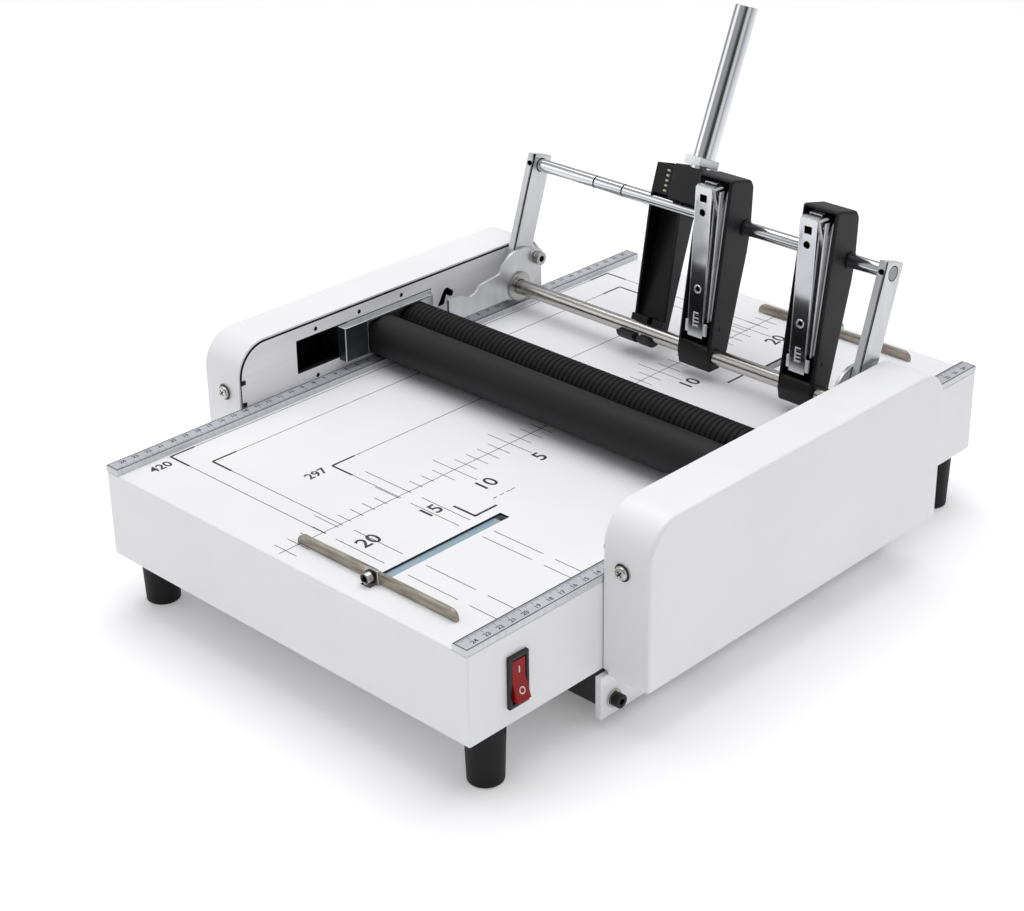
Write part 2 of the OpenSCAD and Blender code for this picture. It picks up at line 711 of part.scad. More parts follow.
blade_motor_l = 46;
blade_motor_d = 24;
motor_socket = 14;
motor_neck = 10;
motor_neck_l = 12;
motor_pad_l = 30;
motor_pad_w = 24;
module blade_motor() color("dimgray") at_table() difference() {
    union() {
        rod_x(lift_end, lift_end + blade_motor_l, lift_y, lift_z, blade_motor_d);
        block([lift_end, lift_y - motor_neck / 2, lift_z],
            [lift_end + motor_neck_l, lift_y + motor_neck / 2, -sheet_t]);
        block([lift_end, lift_y - motor_neck, -sheet_t - hanger_foot],
            [lift_end + motor_pad_l, lift_y - motor_neck + motor_pad_w, -sheet_t]);
    }
    rod_x(lift_end - cut, lift_end + motor_socket, lift_y, lift_z, lift_shaft_d + 2 * run_fit);
}

guide_w = 16;
module blade_guides() color("gray") at_table() both_sides() difference() {
    block([blade_slot_l / 2 + wide_fit, -guide_w / 2, -blade_h],
        [blade_slot_l / 2 + wide_fit + guide_l, guide_w / 2, -sheet_t]);
    block([blade_l / 2, -blade_slot / 2, -blade_h - cut],
        [blade_l / 2 + blade_wing + 2, blade_slot / 2, -sheet_t + cut]);
}

// Hangers that carry the lift shaft
hanger_out = 20;
hanger_from_motor = 10;
lift_block_xs = [-lift_x - hanger_out, -lift_x + rack_from_motor, lift_end - hanger_from_motor];
module lift_blocks() color("gray") at_table() for (x = lift_block_xs) difference() {
    union() {
        block([x, lift_y - hanger_l / 2, lift_z - hanger_h], [x + hanger_w, lift_y + hanger_l / 2, -sheet_t]);
        block([x, lift_y - hanger_l / 2, -sheet_t - hanger_foot],
            [x + hanger_w, lift_y + hanger_foot_l, -sheet_t]);
    }
    rod_x(x - cut, x + hanger_w + cut, lift_y, lift_z, lift_shaft_d + 2 * run_fit);
}

module anvil_blocks() color("silver") at_table() for (x = stations) difference() {
    union() {
        block([x - anvil_w / 2 + hole_fit, -anvil_l / 2 + hole_fit, -anvil_h],
            [x + anvil_w / 2 - hole_fit, anvil_l / 2 - hole_fit, 0]);
        block([x - anvil_w / 2 - anvil_lip, -anvil_l / 2 - anvil_lip, -anvil_h],
            [x + anvil_w / 2 + anvil_lip, anvil_l / 2 + anvil_lip, -sheet_t]);
    }
    for (side = [-1, 1]) block([x + side * 3.6 - 2.6, -0.8, -0.8], [x + side * 3.6 + 2.6, 0.8, cut]);
}

board_w = 90;
board_l = 80;
board_t = 1.6;
board_drop = 20;
board_x = -base_w / 2 + flange_w + 2;
board_y = -base_l / 2 + 60;
post_d = 6;
post_inset = 5;
relay_h = 22;
can_d = 16;
module control_board() color("darkgreen") at_table() translate([board_x, board_y, -sheet_t - board_drop]) {
    translate([0, 0, -board_t]) cube([board_w, board_l, board_t]);
    for (x = [post_inset, board_w - post_inset]) for (y = [post_inset, board_l - post_inset])
        translate([x, y, 0]) cylinder(d = post_d, h = board_drop);
    translate([board_w / 8, board_l / 6, -board_t - relay_h]) cube([board_w / 3, board_l * 0.42, relay_h]);
    translate([board_w * 0.78, board_l / 4, -board_t - can_d]) cylinder(d = can_d, h = can_d);
    translate([board_w * 0.62, board_l * 0.62, -board_t - relay_h * 0.6])
        cube([board_w / 5, board_l / 5, relay_h * 0.6]);
}

inlet_depth = 22;
inlet_wall = 3;
inlet_flange = 2;
inlet_lip = 3;
inlet_back = base_l / 2 - inlet_depth;
module inlet_box(y0, y1, grow) block([inlet_x - inlet_w / 2 - grow, y0, -base_h / 2 - inlet_h / 2 - grow],
    [inlet_x + inlet_w / 2 + grow, y1, -base_h / 2 + inlet_h / 2 + grow]);
module power_inlet() color("black") at_table() difference() {
    union() {
        inlet_box(inlet_back, base_l / 2, -hole_fit);
        inlet_box(base_l / 2 - sheet_t - inlet_flange, base_l / 2 - sheet_t, inlet_lip);
    }
    inlet_box(inlet_back + 2 * inlet_wall, base_l / 2 + cut, -inlet_wall);
}

// Rocker switch on the right side of the base
switch_z = -base_h / 2 - 1.5;
switch_lip = 2.5;
switch_depth = 18;
rocker_half = switch_h / 2 - 3.8;
rocker_w = switch_w - 5;
rocker_tilt = -10;
rocker_pin_d = 2.4;
module switch_frame() color("black") at_table() translate([plate_in, -switch_y, switch_z]) difference() {
    union() {
        block([0, -switch_w / 2, -switch_h / 2], [switch_lip, switch_w / 2, switch_h / 2]);
        block([-switch_depth, -switch_w / 2 + 1.5 + hole_fit, -switch_h / 2 + 2 + hole_fit],
            [0, switch_w / 2 - 1.5 - hole_fit, switch_h / 2 - 2 - hole_fit]);
    }
    block([-10, -rocker_w / 2 - slide_fit, -rocker_half - 1],
        [switch_lip + cut, rocker_w / 2 + slide_fit, rocker_half + 1]);
    rod_y(-rocker_w / 2 - 1.2, rocker_w / 2 + 1.2, 0, 0, rocker_pin_d + 2 * run_fit);
}
module switch_rocker() color("red") at_table() translate([plate_in, -switch_y, switch_z])
    rotate([0, rocker_tilt, 0]) {
    translate([0, rocker_w / 2, 0]) rotate([90, 0, 0]) linear_extrude(rocker_w)
        polygon([[-2, -rocker_half + 1], [4.5, -rocker_half], [2.2, 0], [4.5, rocker_half],
            [-2, rocker_half - 1]]);
    rod_y(-rocker_w / 2 - 1, rocker_w / 2 + 1, 0, 0, rocker_pin_d);
}

// Stapling frame

module lower_shaft() color("lightgray") swing_frame()
    rod_x(-layer_out_end - 1, layer_out_end + 1, 0, 0, lower_shaft_d);

clip_groove = 0.8;
module upper_shaft() color("silver") swing_frame() difference() {
    rod_x(-arm_out, arm_out, 0, arm_span, upper_shaft_d);
    for (x = concat(clip_xs, groove_xs)) difference() {
        rod_x(x - clip_t / 2, x + clip_t / 2, 0, arm_span, upper_shaft_d + 2);
        rod_x(x - clip_t, x + clip_t, 0, arm_span, upper_shaft_d - 2 * clip_groove);
    }
}

arm_end = 9;
set_screw_d = 3.5;
module right_arm() color("silver") swing_frame() difference() {
    block([arm_in, -arm_w / 2, -arm_end + 1], [arm_out, arm_w / 2, arm_span + arm_end - 1.5]);
    rod_x(arm_in - cut, arm_out + cut, 0, 0, lower_shaft_d);
    rod_x(arm_in - cut, arm_out + cut, 0, arm_span, upper_shaft_d);
    for (z = [0, arm_span]) rod_y(-arm_w, -upper_r, (arm_in + arm_out) / 2, z, set_screw_d);
}
module left_arm() mirror([1, 0, 0]) right_arm();

// Toothed quadrants on the ends of the lower shaft, which drive the carriage forward
sector_from = mesh_angle - swing_max - gear_lip;
sector_to = mesh_angle + gear_lip;
sector_turn = mesh_angle;
module carriage_sectors() color("gray") at_table() translate([0, pivot_y, pivot_h]) both_sides()
    difference() {
    union() {
        intersection() {
            gear(layer_out, layer_out_end, 0, 0, sector_teeth, rack_mod, sector_turn, 0.8);
            along_x(layer_out - cut, layer_out_end + cut) polygon(concat([[0, 0]],
                [for (i = [0 : 8]) let (a = sector_from + i * (sector_to - sector_from) / 8)
                    2 * sector_r * [cos(a), sin(a)]]));
        }
        rod_x(layer_out, layer_out_end, 0, 0, lower_shaft_d + 12);
    }
    rod_x(layer_out - cut, layer_out_end + cut, 0, 0, lower_shaft_d);
}

// Lever: a channel behind both shafts, and a block that carries the handle tube
lever_low = 9;
lever_high = block_low + 22;
lever_back = 14;
lever_front_high = -4;
lever_front_low = lower_r + 3;
lever_left = lever_x - lever_w / 2;
lever_right = lever_x + lever_w / 2;
module lever_wall(x) along_x(x, x + lever_t) polygon([[lever_front_low, lever_low], [lever_back, lever_low],
    [lever_back, lever_high], [lever_front_high, lever_high], [lever_front_high, arm_span + 2]]);
module lever_channel() color("black") swing_frame() difference() {
    union() {
        lever_hook();
        lever_wall(lever_left);
        difference() {
            lever_wall(lever_right - lever_t);
            block([lever_left, -50, block_low - 0.2], [lever_right + cut, 50, lever_high + cut]);
        }
        lever_wall(block_left - lever_t);
        block([lever_left, lever_back - lever_t, lever_low], [lever_right, lever_back, block_low - 0.2]);
        block([lever_left, lever_back - lever_t, block_low - 0.3], [block_left, lever_back, lever_high]);
        block([lever_left, lever_front_high, block_low + 1],
            [block_left, lever_front_high + lever_t, lever_high]);
    }
    rod_x(lever_left - cut, lever_right + cut, 0, arm_span, upper_shaft_d);
    block([block_left - lever_t - cut, -50, -50], [block_left + cut, lever_back - lever_t, block_low - 0.2]);
    for (i = [0 : 4]) translate([block_left - 8, lever_front_high - cut, block_low + 3 + 3.6 * i])
        cube([3, lever_t + 2 * cut, 1.6]);
}

module handle_block() color("dimgray") swing_frame() difference() {
    block([block_left, -block_front, block_low], [block_left + block_w, block_back, block_low + block_h]);
    translate([block_x, tube_d_at, block_low + block_h]) rotate([-tube_lean, 0, 0])
        translate([0, 0, -tube_seat]) cylinder(d = tube_d, h = 2 * tube_seat);
}
module tube_frame() swing_frame() translate([block_x, tube_d_at, block_low + block_h])
    rotate([-tube_lean, 0, 0]) children();
module handle_tube() color("silver") tube_frame() difference() {
    translate([0, 0, -tube_seat]) cylinder(d = tube_d, h = tube_l + tube_seat);
    translate([0, 0, -tube_seat + 4]) cylinder(d = tube_d - 2 * tube_wall, h = tube_l + tube_seat);
}
module handle_nut() color("lightgray") tube_frame() difference() {
    translate([0, 0, nut_lift]) cylinder(d = nut_af / cos(30), h = nut_h, $fn = 6);
    cylinder(d = tube_d, h = 3 * nut_h);
}

// Hook at the foot of the channel, which holds it to the lower shaft
clip_out = lower_r + 4;
module lever_hook() translate([lever_x, 0, 0]) difference() {
    union() {
        rod_x(-lever_w / 2, lever_w / 2, 0, 0, 2 * clip_out);
        block([-lever_w / 2, lower_r, 0], [lever_w / 2, lever_back, lever_low]);
    }
    rod_x(-lever_w, lever_w, 0, 0, lower_shaft_d);
    rotate([arm_lean, 0, 0]) block([-lever_w, -2 * clip_out, -lower_r * 0.2], [lever_w, 0, 2 * clip_out]);
    block([-lever_w, -2 * clip_out, lower_r * 0.6], [lever_w, lower_r, 2 * clip_out]);
}

// Stapler bodies, open towards the magazine
module stapler_side() polygon([[-stapler_front + 3.4, -stapler_bottom],
    [stapler_back_low - 6.2, -stapler_bottom + 1.5],
    [stapler_back_low, 1.6], [stapler_back_high, 71], [stapler_back_high + 0.5, 91],
    [stapler_back_high - 2.4, stapler_top - 6], [stapler_back_high - 5.6, stapler_top - 1.6],
    [-stapler_front + 1.5, stapler_top], [-stapler_front, stapler_top - 1.5],
        [-stapler_front, -stapler_bottom + 9.4]]);
module stapler_hollow() polygon([[-stapler_front - cut, stapler_floor],
    [stapler_back_low + 0.4 - stapler_wall, stapler_floor], [stapler_back_high - stapler_wall, 71],
    [stapler_back_high + 0.5 - stapler_wall, 91], [stapler_back_high - 2.4 - stapler_wall, stapler_top - 6],
    [stapler_back_high - 6 - stapler_wall, stapler_top - stapler_wall],
    [-stapler_front - cut, stapler_top - stapler_wall]]);
upper_u = arm_span * sin(stapler_tilt);
upper_w = arm_span * cos(stapler_tilt);
module stapler_body(x) color("black") stapler_frame(x) difference() {
    along_x(-stapler_w / 2, stapler_w / 2) stapler_side();
    along_x(-stapler_w / 2 + stapler_wall, stapler_w / 2 - stapler_wall) stapler_hollow();
    rod_x(-stapler_w, stapler_w, 0, 0, lower_shaft_d);
    rod_x(-stapler_w, stapler_w, upper_u, upper_w, upper_shaft_d);
    rod_x(-stapler_w, stapler_w, magazine_pin[0], magazine_pin[1], pin_d);
}
module left_stapler_body() stapler_body(stapler_left_x);
module right_stapler_body() stapler_body(stapler_right_x);

module magazine_pins() color("silver") for (x = stapler_xs) stapler_frame(x)
    rod_x(-stapler_w / 2 + 0.4, stapler_w / 2 - 0.4, magazine_pin[0], magazine_pin[1], pin_d);

module shaft_clips() color("gray") swing_frame() for (x = clip_xs) difference() {
    rod_x(x - clip_t / 2, x + clip_t / 2, 0, arm_span, clip_d);
    rod_x(x - clip_t, x + clip_t, 0, arm_span, upper_shaft_d - 2 * clip_groove);
}

// Magazines: a folded steel channel with a closed nose at the top
magazine_deep = 13.7;
magazine_sheet = 1;
nose_h = 16;
nose_deep = 19;
module magazine(x) color("silver") magazine_frame(x) difference() {
    union() {
        along_x(-magazine_w / 2, magazine_w / 2) polygon([[-magazine_face, -magazine_tail],
            [3, -magazine_tail],
            [magazine_deep - magazine_face, 4], [magazine_deep - magazine_face, magazine_l - nose_h - 6],
            [nose_deep - magazine_face, magazine_l - nose_h], [nose_deep - magazine_face, magazine_l - 2],
            [nose_deep - magazine_face - 2, magazine_l], [-magazine_face, magazine_l]]);
    }
    block([-magazine_w / 2 + magazine_sheet, -magazine_face + magazine_sheet, -magazine_tail - cut],
        [magazine_w / 2 - magazine_sheet, nose_deep, magazine_l - magazine_sheet]);
    rod_x(-magazine_w, magazine_w, 0, 0, pin_d + 2 * run_fit);
    block([-3, -magazine_face - cut, magazine_l - 10.5], [3, -magazine_face + 2, magazine_l - 5.5]);
    rod_y(-magazine_face - cut, -magazine_face + 2, 0, magazine_l - 18, 5);
    rod_y(-magazine_face - cut, -magazine_face + 2, 0, magazine_l - 72.4, 3.6);
    block([-2.5, -magazine_face - cut, 0], [2.5, -magazine_face + 2, 8]);
}
module left_magazine() magazine(stapler_left_x);
module right_magazine() magazine(stapler_right_x);

// Roller carriage

module carriage_end() difference() {
    union() {
        block([carriage_in, -carriage_front, carriage_low - 5],
            [plate_in - slide_fit, carriage_back, carriage_high - 3]);
        block([plate_in - slide_fit - cut, -carriage_front, carriage_low],
            [plate_out + slide_fit, carriage_back, carriage_high]);
        block([plate_out + slide_fit, -carriage_front, carriage_low - 3],
            [carriage_out, carriage_back, carriage_high + 3]);
    }
    for (y = [-roller_y, roller_y])
        rod_x(carriage_in - cut, carriage_out + cut, y, roller_z, journal_d + 2 * bush_wall);
}
module right_carriage() color("silver") at_table() carriage_end();
module left_carriage() color("silver") at_table() mirror([1, 0, 0]) carriage_end();

module roller_bushes() color("goldenrod") at_table() both_sides() for (y = [-roller_y, roller_y])
    difference() {
    rod_x(carriage_in, carriage_out, y, roller_z, journal_d + 2 * bush_wall);
    rod_x(carriage_in - cut, carriage_out + cut, y, roller_z, journal_d + 2 * run_fit);
}

// Racks that join the carriage ends to the pinions
pinion_turn = mesh_turn(sector_turn, sector_teeth, pinion_teeth, mesh_angle);
rack_offset = pinion_y - (270 - pinion_turn) * pinion_teeth / 360 * PI * rack_mod;
rack_bar = 6;
rack_post = 8;
rack_back = pinion_y + carriage_travel + 8;
module carriage_rack() {
    block([carriage_out, -carriage_front, carriage_low + 2],
        [layer_out_end, -carriage_front + rack_post, carriage_high - 2]);
    block([layer_out, -carriage_front, rack_z - 1.25 * rack_mod - rack_bar],
        [layer_out_end, -carriage_front + rack_post, carriage_high - 2]);
    block([layer_out, -carriage_front, rack_z - 1.25 * rack_mod - rack_bar],
        [layer_out_end, rack_back, rack_z - 1.25 * rack_mod]);
    points = rack_points(pinion_y - 12, rack_back - 1, rack_mod, rack_offset);
    for (i = [0 : 4 : len(points) - 1]) translate([0, 0, rack_z]) along_x(layer_out, layer_out_end)
        polygon([points[i], points[i + 1], points[i + 2], points[i + 3]]);
}
module carriage_racks() color("gray") at_table() both_sides() carriage_rack();

module carriage_pinions() color("gray") at_table() both_sides() difference() {
    gear(layer_out, layer_out_end, pinion_y, pinion_z, pinion_teeth, rack_mod, pinion_turn, 0.8);
    rod_x(layer_out - cut, layer_out_end + cut, pinion_y, pinion_z, stud_d + 2 * run_fit);
}

// Rollers: a steel core with journals, a rubber sleeve, and gears on the journal ends
module roller_core(y, left, right) color("silver") at_table() {
    rod_x(-roller_half, roller_half, y, roller_z, core_d);
    rod_x(-left, right, y, roller_z, journal_d);
}
module smooth_roller_core() roller_core(-roller_y, layer_in_end, carriage_out);
module ribbed_roller_core() roller_core(roller_y, layer_in_end, layer_in_end);

module smooth_roller_sleeve() color("dimgray") at_table() difference() {
    rod_x(-roller_half, roller_half, -roller_y, roller_z, roller_d);
    rod_x(-roller_half - cut, roller_half + cut, -roller_y, roller_z, core_d + 2 * glue_gap);
}

// Half of the ribbed sleeve, from the middle to one end
sleeve_bore_r = core_d / 2 + glue_gap;
rib_end = 3;
rib_count = floor((roller_half - rib_end) / rib_pitch + 0.5);
groove_turns = [[0, -1], [-rib_depth, -1], [-rib_depth, 1], [0, 1]];
module ribbed_half() rotate_extrude() polygon(concat([[sleeve_bore_r, 0], [roller_r, 0]],
    [for (i = [0 : rib_count - 1]) for (p = groove_turns)
        [roller_r + p[0], (i + 0.5) * rib_pitch + p[1] * rib_groove / 2]],
    [[roller_r, roller_half], [sleeve_bore_r, roller_half]]));
module ribbed_roller_sleeve() color("black") at_table() translate([0, roller_y, roller_z])
    rotate([0, 90, 0]) {
    ribbed_half();
    mirror([0, 0, 1]) ribbed_half();
}

// The two rollers turn together through a pair of equal gears on the left
roller_pair_mod = 2 * roller_y / roller_teeth;
module smooth_roller_gear() color("ivory") at_table() mirror([1, 0, 0]) difference() {
    gear(layer_in, layer_in_end, -roller_y, roller_z, roller_teeth, roller_pair_mod, 0);
    rod_x(layer_in - cut, layer_in_end + cut, -roller_y, roller_z, journal_d);
}
module ribbed_roller_gears() color("ivory") at_table() {
    mirror([1, 0, 0]) difference() {
        gear(layer_in, layer_in_end, roller_y, roller_z, roller_teeth, roller_pair_mod,
            mesh_turn(0, roller_teeth, roller_teeth, 0));
        rod_x(layer_in - cut, layer_in_end + cut, roller_y, roller_z, journal_d);
    }
    difference() {
        gear(layer_in, layer_in_end, roller_y, roller_z, roller_teeth, roller_mod, 0);
        rod_x(layer_in - cut, layer_in_end + cut, roller_y, roller_z, journal_d);
    }
}
idler_turn = mesh_turn(0, roller_teeth, idler_teeth, 0);
module idler_gear() color("ivory") at_table() difference() {
    gear(layer_in, layer_in_end, idler_y, roller_z, idler_teeth, roller_mod, idler_turn);
    rod_x(layer_in - cut, layer_in_end + cut, idler_y, roller_z, stud_d + 2 * run_fit);
}
module motor_gear() color("ivory") at_table() {
    gear(layer_in, layer_in_end, motor_y, motor_z, motor_teeth, roller_mod,
        mesh_turn(idler_turn, idler_teeth, motor_teeth, motor_angle));
    rod_x(plate_in - sheet_t - motor_box_t + 3, layer_in_end, motor_y, motor_z, motor_shaft_d);
}

// Fold blade and its lift

blade_top = -blade_rest;
blade_wing_z = blade_top - notch_h;
module fold_blade() color("lightgray") at_table() difference() {
    union() {
        block([-blade_l / 2, -blade_t / 2, blade_top - blade_h], [blade_l / 2, blade_t / 2, blade_top]);
        block([-blade_l / 2 - blade_wing, -blade_t / 2, blade_top - blade_h],
            [blade_l / 2 + blade_wing, blade_t / 2, blade_wing_z]);
    }
    for (x = stations) block([x - notch_w / 2, -blade_t, blade_top - notch_h],
        [x + notch_w / 2, blade_t, cut]);
}

lift_rack_xs = [-lift_x, lift_end - rack_from_motor];
carrier_half = blade_l / 2 - carrier_inset;
lift_turn = 180 + lift_z / lift_r * 180 / PI;
module blade_carrier() color("gray") at_table() {
    difference() {
        block([-carrier_half, -carrier_w / 2, carrier_z],
            [carrier_half, carrier_w / 2, carrier_z + carrier_h]);
        block([-carrier_half - cut, -blade_t / 2, carrier_z + carrier_h - carrier_seat],
            [carrier_half + cut, blade_t / 2, carrier_z + carrier_h + cut]);
    }
    points = rack_points(carrier_z + 1, lift_z + rack_w, lift_mod, 0);
    for (x = lift_rack_xs) {
        block([x, carrier_w / 2, carrier_z], [x + rack_w, carrier_w / 2 + rack_stem, lift_z + rack_w + 1]);
        for (i = [0 : 4 : len(points) - 1]) translate([x, rack_bar_y, 0]) rack_tooth(points, i);
    }
}
module rack_tooth(points, i) rotate([90, 0, 90]) linear_extrude(rack_w)
    polygon([for (k = [0 : 3]) [points[i + k][1], points[i + k][0]]]);

module lift_shaft() color("silver") at_table() {
    rod_x(lift_block_xs[0] - hanger_w / 4, lift_end + motor_socket - hanger_w / 4, lift_y, lift_z, lift_shaft_d);
    for (x = lift_rack_xs) gear(x + 1, x + rack_w - 1, lift_y, lift_z, lift_teeth, lift_mod, lift_turn, 0.8);
}

// Paper stops: a strip on edge, with a tab that runs down through the slot to a foot under the table

stop_lift = 0.1;
stop_screw_d = 4;
stop_screw_z = 4.6;
tab_w = 11;
tab_h = 9.2;
foot_plate_t = 2;
foot_plate_l = 12;
stop_head_d = 7;
stop_head_h = 4;
washer_t = 1.4;
stop_round = stop_h - 1;
module stop_outline() translate([0, stop_lift]) intersection() {
    translate([-stop_l / 2, 0]) square([stop_l, stop_h]);
    union() {
        translate([-stop_l / 2 + stop_round, 0]) square([stop_l - 2 * stop_round, stop_h]);
        translate([-stop_l / 2, 0]) square([stop_l, stop_h - stop_round]);
        for (side = [-1, 1]) translate([side * (stop_l / 2 - stop_round), stop_h - stop_round]) circle(stop_round);
    }
}
module stop_bar() difference() {
    union() {
        rotate([90, 0, 0]) translate([0, 0, -stop_t]) linear_extrude(stop_t) stop_outline();
        block([-tab_w / 2, stop_t, stop_lift], [tab_w / 2, stop_t + tab_t, tab_h]);
        block([-slot_w / 2 + slide_fit, stop_t, -sheet_t - stop_lift - 1],
            [slot_w / 2 - slide_fit, stop_t + tab_t, stop_lift + cut]);
        block([-foot_plate_w / 2, stop_t + tab_t / 2 - foot_plate_l / 2, -sheet_t - stop_lift - foot_plate_t],
            [foot_plate_w / 2, stop_t + tab_t / 2 + foot_plate_l / 2, -sheet_t - stop_lift]);
    }
    rod_y(-cut, stop_t + tab_t + cut, 0, stop_screw_z, stop_screw_d);
}
// Cap screw with its washer outside the tab, and a thin nut in the face of the strip
module stop_screw() difference() {
    union() {
        rod_y(0, stop_t + tab_t + cut, 0, stop_screw_z, stop_screw_d);
        rod_y(stop_t + tab_t, stop_t + tab_t + washer_t, 0, stop_screw_z, stop_head_d + 1.6);
        rod_y(stop_t + tab_t + washer_t, stop_t + tab_t + washer_t + stop_head_h, 0, stop_screw_z,
            stop_head_d);
    }
    translate([0, stop_t + tab_t + washer_t + 1.6, stop_screw_z]) rotate([-90, 0, 0])
        cylinder(d = 4, h = stop_head_h, $fn = 6);
}
module at_front_stop() at_table() translate([front_stop_x, -front_stop_y, 0]) rotate([0, 0, 180]) children();
module at_back_stop() at_table() translate([back_stop_x, back_stop_y, 0]) children();
module front_stop_bar() color("rosybrown") at_front_stop() stop_bar();
module front_stop_screw() color("silver") at_front_stop() stop_screw();
module back_stop_bar() color("rosybrown") at_back_stop() stop_bar();
module back_stop_screw() color("silver") at_back_stop() stop_screw();

base_shell();
undertray();
left_side_plate();
right_side_plate();
left_cover();
right_cover();
left_ruler();
right_ruler();
feet();
left_pivot_bracket();
right_pivot_bracket();
pivot_bushes();
stop_bolts();
tray_screws();
case_screws();
gear_studs();
drive_motor();
blade_motor();
blade_guides();
lift_blocks();
anvil_blocks();
control_board();
power_inlet();
switch_frame();
switch_rocker();
lower_shaft();
upper_shaft();
left_arm();
right_arm();
carriage_sectors();
lever_channel();
handle_block();
handle_tube();
handle_nut();
left_stapler_body();
right_stapler_body();
magazine_pins();
shaft_clips();
left_magazine();
right_magazine();
left_carriage();
right_carriage();
carriage_racks();
roller_bushes();
carriage_pinions();
smooth_roller_core();
smooth_roller_sleeve();
smooth_roller_gear();
ribbed_roller_core();
ribbed_roller_sleeve();
ribbed_roller_gears();
idler_gear();
motor_gear();
fold_blade();
blade_carrier();
lift_shaft();
front_stop_bar();
front_stop_screw();
back_stop_bar();
back_stop_screw();
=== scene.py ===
import math

import bpy
from mathutils import Matrix, Vector


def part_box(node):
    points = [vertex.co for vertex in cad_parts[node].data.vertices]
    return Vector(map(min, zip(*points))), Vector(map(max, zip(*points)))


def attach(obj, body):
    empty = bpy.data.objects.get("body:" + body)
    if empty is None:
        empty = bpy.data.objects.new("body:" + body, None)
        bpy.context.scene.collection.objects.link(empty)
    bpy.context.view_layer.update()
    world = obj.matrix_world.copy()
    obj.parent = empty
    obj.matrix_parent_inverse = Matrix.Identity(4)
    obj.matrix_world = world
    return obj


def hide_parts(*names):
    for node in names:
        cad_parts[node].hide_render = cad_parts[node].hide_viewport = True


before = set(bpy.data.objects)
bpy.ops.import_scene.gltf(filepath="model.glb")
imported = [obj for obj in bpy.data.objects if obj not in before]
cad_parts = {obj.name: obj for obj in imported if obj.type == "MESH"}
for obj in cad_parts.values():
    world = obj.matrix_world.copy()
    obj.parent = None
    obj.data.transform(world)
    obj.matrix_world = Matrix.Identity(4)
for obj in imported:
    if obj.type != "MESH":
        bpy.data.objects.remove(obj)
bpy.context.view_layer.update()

# Studio: a plain pale floor with a faint glow, one wide soft light overhead, a fill from each
# side, a dark screen beside the camera for the chrome to mirror, and a long lens.
def clear_selection():
    """Leaves edit mode and deselects everything."""
    if bpy.context.object and bpy.context.object.mode != "OBJECT":
        bpy.ops.object.mode_set(mode="OBJECT")
    bpy.ops.object.select_all(action="DESELECT")


def tone(red, green, blue):
    """A colour as the eye reads it, 0 to 255, for a shader socket."""
    foot, span, power = 0.055, 1.055, 2.4
    return [*(((c / 255 + foot) / span) ** power for c in (red, green, blue)), 1.0]


floor_size, floor_patches = 14, 3.0
floor_pale, floor_deep, floor_light = (252, 252, 252), (249, 249, 250), (255, 255, 255)
floor_roughness, floor_gloss, floor_glow = 0.9, 0.1, 0.16
clear_selection()
bpy.ops.mesh.primitive_plane_add(size=floor_size, location=(0, 0, 0))
floor = bpy.context.object
floor.name = "studio_floor"
floor_paper = bpy.data.materials.new("floor_paper")
floor_paper.use_nodes = True
floor_nodes, floor_links = floor_paper.node_tree.nodes, floor_paper.node_tree.links
floor_shader = floor_nodes["Principled BSDF"]
floor_noise = floor_nodes.new("ShaderNodeTexNoise")
floor_noise.inputs["Scale"].default_value = floor_patches
floor_ramp = floor_nodes.new("ShaderNodeValToRGB")
floor_ramp.color_ramp.elements[0].color = tone(*floor_deep)
floor_ramp.color_ramp.elements[1].color = tone(*floor_pale)
floor_shader.inputs["Roughness"].default_value = floor_roughness
floor_shader.inputs["Specular IOR Level"].default_value = floor_gloss
floor_shader.inputs["Emission Color"].default_value = tone(*floor_light)
floor_shader.inputs["Emission Strength"].default_value = floor_glow
floor_links.new(floor_noise.outputs["Fac"], floor_ramp.inputs["Fac"])
floor_links.new(floor_ramp.outputs["Color"], floor_shader.inputs["Base Color"])
floor.data.materials.append(floor_paper)

light_aim = Vector((0, 0, 0.1))
for name, place, size, power in (
    ("softbox_above", (-0.2, 0.3, 2.2), 2.4, 38.5),
    ("fill_left", (-2.2, -1.4, 1.1), 1.6, 7.5),
    ("fill_right", (2.4, -0.6, 0.9), 1.4, 2.5),
):
    bpy.ops.object.light_add(type="AREA", location=place)
    light = bpy.context.object
    light.name = name
    light.data.energy = power
    light.data.shape = "SQUARE"
    light.data.size = size
    light.rotation_euler = (light_aim - Vector(place)).to_track_quat("-Z", "Y").to_euler()

air_tone, screen_way = (250, 250, 252), (0.62, -0.78, 0.05)
screen_fades = (("From Min", 0.84), ("From Max", 0.95), ("To Min", 0.46), ("To Max", 0.05))
world = bpy.data.worlds.new("studio_air")
world.use_nodes = True
air, air_links = world.node_tree.nodes, world.node_tree.links
air["Background"].inputs["Color"].default_value = tone(*air_tone)
looking = air.new("ShaderNodeTexCoord")
towards_screen = air.new("ShaderNodeVectorMath")
towards_screen.operation = "DOT_PRODUCT"
towards_screen.inputs[1].default_value = screen_way
screen_edge = air.new("ShaderNodeMapRange")
for socket, value in screen_fades:
    screen_edge.inputs[socket].default_value = value
air_links.new(looking.outputs["Generated"], towards_screen.inputs[0])
air_links.new(towards_screen.outputs["Value"], screen_edge.inputs["Value"])
air_links.new(screen_edge.outputs["Result"], air["Background"].inputs["Strength"])
bpy.context.scene.world = world
bpy.context.scene.view_settings.view_transform = "Standard"

camera_place = (0.86494, -0.92825, 0.72172)
camera_tilt, camera_turn = math.radians(64.06), math.radians(42.446)
bpy.ops.object.camera_add(location=camera_place, rotation=(camera_tilt, 0, camera_turn))
camera = bpy.context.object
camera.data.lens = 74.62
camera.data.sensor_width = 36
camera.data.shift_x = -0.0660
camera.data.shift_y = -0.0442
bpy.context.scene.camera = camera

